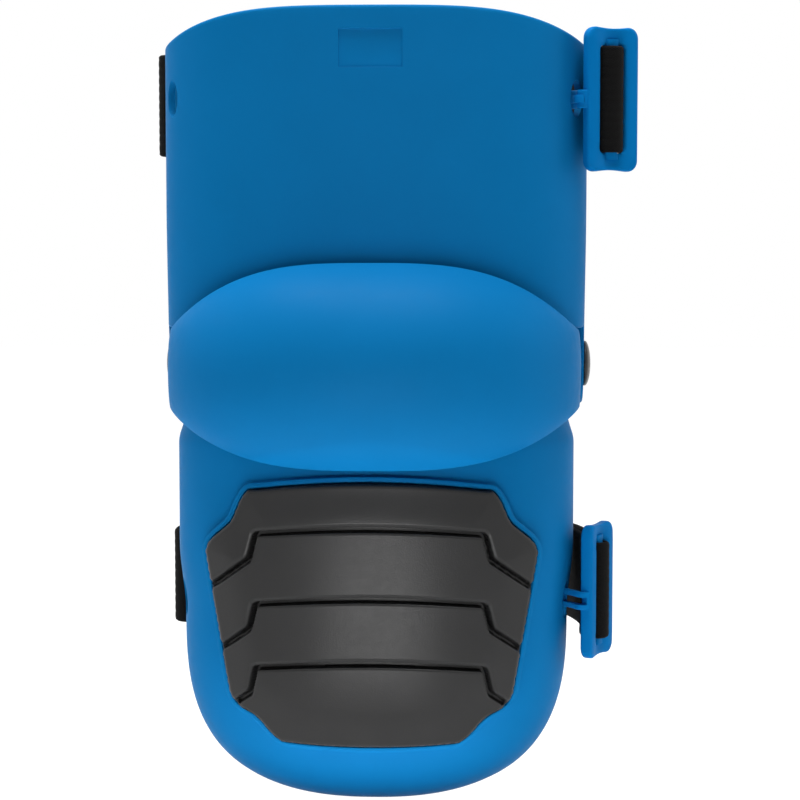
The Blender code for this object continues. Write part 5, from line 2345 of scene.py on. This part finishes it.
@dataclass
class Studio:
    """Floor, light and camera."""

    floor_level: float = -0.162
    floor_size: float = 3.0
    floor_colours: tuple[Colour, Colour] = ((0.6, 0.6, 0.6), (0.64, 0.64, 0.64))
    floor_white: float = 0.7
    floor_glow: float = 0.96
    front_light: float = 0.04
    back_light: float = 0.42
    light_run: Point = (-0.75, 0.25)
    distance: float = 0.85
    yaw: float = radians(2.2)
    elevation: float = radians(4.5)
    target: Spot = (0.0088, -0.015, -0.0130)
    picture_width: float = 0.298
    lights: tuple[SoftLight, ...] = (
        SoftLight("top", (-0.05, -0.13, 0.85), (0.0, -0.05, 0.0), (0.8, 0.34), 13.5),
        SoftLight("side_left", (-0.85, 0.1, 0.15), (0.0, -0.03, 0.0), (0.5, 0.8), 4.2, False),
        SoftLight("side_right", (0.85, 0.1, 0.15), (0.0, -0.03, 0.0), (0.5, 0.8), 3.6, False),
        SoftLight("front", (0.0, -1.2, 0.1), (0.0, -0.05, 0.0), (0.5, 0.6), 0.2, False),
        SoftLight("table", (0.0, -0.88, -0.159), (0.0, -0.88, 0.0), (0.16, 1.2), 4.0),
        SoftLight("bounce", (0.0, -0.15, -0.159), (0.0, -0.15, 0.0), (0.34, 0.12), 0.12, False),
        SoftLight("toe", (0.0, -0.1, -0.159), (0.0, -0.1, 0.0), (0.24, 0.05), 0.28, False),
    )

    def build(self) -> None:
        """Build floor, light, world and camera."""
        self.build_floor()
        self.build_world()
        for light in self.lights:
            light.build()
        self.build_camera()

    def build_floor(self) -> None:
        """Lay the pale floor, which looks whiter than it lights and keeps the shadow."""
        shade = Shading(bpy.data.materials.new("floor"))
        colour = shade.tint(shade.noise(6.0, 2.0), *self.floor_colours)
        shade.surface(Base_Color=colour, Roughness=0.8, Specular_IOR_Level=0.1)
        seen = shade.seen()
        pale = shade.node("ShaderNodeEmission", Color=WHITE, Strength=self.floor_glow).outputs["Emission"]
        dark = shade.node("ShaderNodeEmission", Color=BLACK, Strength=0.0).outputs["Emission"]
        lit = shade.nodes["Principled BSDF"].outputs["BSDF"]
        both = shade.nodes.new("ShaderNodeAddShader")
        shade.feed(both.inputs[0], shade.blend(shade.math("MULTIPLY", seen, self.floor_white), lit, dark))
        shade.feed(both.inputs[1], shade.blend(seen, dark, pale))
        shade.feed(shade.nodes["Material Output"].inputs["Surface"], both.outputs["Shader"])
        mesh = bpy.data.meshes.new("floor")
        corners = ((-1, -1), (1, -1), (1, 1), (-1, 1))
        size = self.floor_size
        mesh.from_pydata([(x * size, y * size, self.floor_level) for x, y in corners], [], [(0, 1, 2, 3)])
        show("floor", mesh, shade.owner)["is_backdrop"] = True

    def build_world(self) -> None:
        """Make the surroundings: white where they show, bright behind the object and dim in front of it."""
        shade = Shading(bpy.data.worlds.new("studio"))
        bpy.context.scene.world = shade.owner
        shade.nodes.remove(shade.nodes["Background"])
        split = shade.node("ShaderNodeSeparateXYZ", Vector=shade.space["Generated"])
        strength = shade.ramp(split.outputs["Y"], *self.light_run, self.front_light, self.back_light)
        strength.node.interpolation_type = "SMOOTHSTEP"
        soft = shade.node("ShaderNodeBackground", Strength=strength)
        white = shade.node("ShaderNodeBackground", Color=WHITE, Strength=1.0)
        both = shade.blend(shade.seen(), soft.outputs["Background"], white.outputs["Background"])
        shade.feed(shade.nodes["World Output"].inputs["Surface"], both)

    def build_camera(self) -> None:
        """Set the camera at the photo's angle."""
        data = bpy.data.cameras.new("camera")
        data.sensor_width = 36.0
        data.sensor_fit = "HORIZONTAL"
        data.angle = 2.0 * atan(0.5 * self.picture_width / self.distance)
        data.clip_start = 0.01
        camera = link("camera", data)
        across = cos(self.elevation)
        away = Vector((sin(self.yaw) * across, -cos(self.yaw) * across, sin(self.elevation)))
        camera.location = Vector(self.target) + away * self.distance
        camera.rotation_euler = (-away).to_track_quat("-Z", "Y").to_euler()
        bpy.context.scene.camera = camera


@dataclass
class KneePad:
    """The whole object."""

    look: Finishes
    thigh: ThighShell = field(default_factory=ThighShell)
    shin: ShinShell = field(default_factory=ShinShell)
    cap: KneeCap = field(default_factory=KneeCap)
    tread: TreadPad = field(default_factory=TreadPad)
    hinge: Hinge = field(default_factory=Hinge)

    def build(self) -> None:
        """Build every piece and hand over all but the strap webbing."""
        look = self.look
        self.thigh.build(look.shell)
        self.shin.build(look.shell, self.tread)
        self.tread.build(self.shin, look.tread)
        self.cap.build(look.shell)
        self.hinge.build(look.rivet, look.washer)
        stitcher = Stitcher(stitch_group(), look.thread)
        self.build_straps(stitcher)
        self.build_liners(stitcher)

    def build_straps(self, stitcher: Stitcher) -> None:
        """Build buckles and straps.

        Args:
            stitcher: Sews the stitches.
        """
        upper = Buckle(
            "upper_buckle", Body.UPPER_BUCKLE, radians(30.0), pivot=(72.0, -32.0), level=97.0,
            height=52.4, window=(10.8, 38.2), corner_spot=(0.45, -9.6),
        )
        lower = Buckle(
            "lower_buckle", Body.LOWER_BUCKLE, radians(65.0), pivot=(69.8, -27.0), level=-84.8,
            height=50.0, window=(10.8, 35.8), corner_spot=(-3.9, -12.6), rise=2.8,
        )
        straps = (
            Strap(
                "upper_strap", Body.THIGH, upper, wall_out=77.6, wall_in=75.0, slot_depth=3.6,
                shift=0.0, level=97.0, width=38.0, stand=5.2,
            ),
            Strap(
                "lower_strap", Body.SHIN, lower, wall_out=73.4, wall_in=68.0, slot_depth=0.4,
                shift=-4.0, level=-82.0, width=35.6, stand=4.4,
            ),
        )
        for strap in straps:
            strap.buckle.build(self.look.buckle)
            strap.build(self.look.webbing, self.look.tape, stitcher)

    def build_liners(self, stitcher: Stitcher) -> None:
        """Build the foam pads, linings and patches.

        Args:
            stitcher: Sews the seams.
        """
        thigh = Liner(
            "thigh", Body.THIGH, self.thigh.section, reach=0.57, low=26.0, high=117.0,
            thickness=9.0, corner=0.06, patch_level=75.0,
        )
        shin = Liner(
            "shin", Body.SHIN, self.shin.section, reach=0.58, low=-136.0, high=-22.0,
            thickness=11.0, corner=0.08, patch_level=-76.0,
        )
        for liner in (thigh, shin):
            liner.build(self.look, stitcher)
        KneeLiner(self.cap).build(self.look)


def note_size(sizes: dict[str, list[list[float]]], moment: str) -> None:
    """Note the shown object's bounds under the name of a moment."""
    low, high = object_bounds()
    sizes[moment] = [list(low), list(high)]


def main() -> None:
    """Build the scene."""
    logging.basicConfig(level=logging.INFO, format="%(name)s %(message)s")
    for thing in list(bpy.data.objects):
        bpy.data.objects.remove(thing, do_unlink=True)
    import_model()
    sizes: dict[str, list[list[float]]] = {}
    note_size(sizes, "after_load")
    KneePad(Finishes.make()).build()
    Studio().build()
    bpy.context.scene.view_settings.view_transform = "Standard"
    note_size(sizes, "before_finish")


if __name__ == "__main__":
    main()
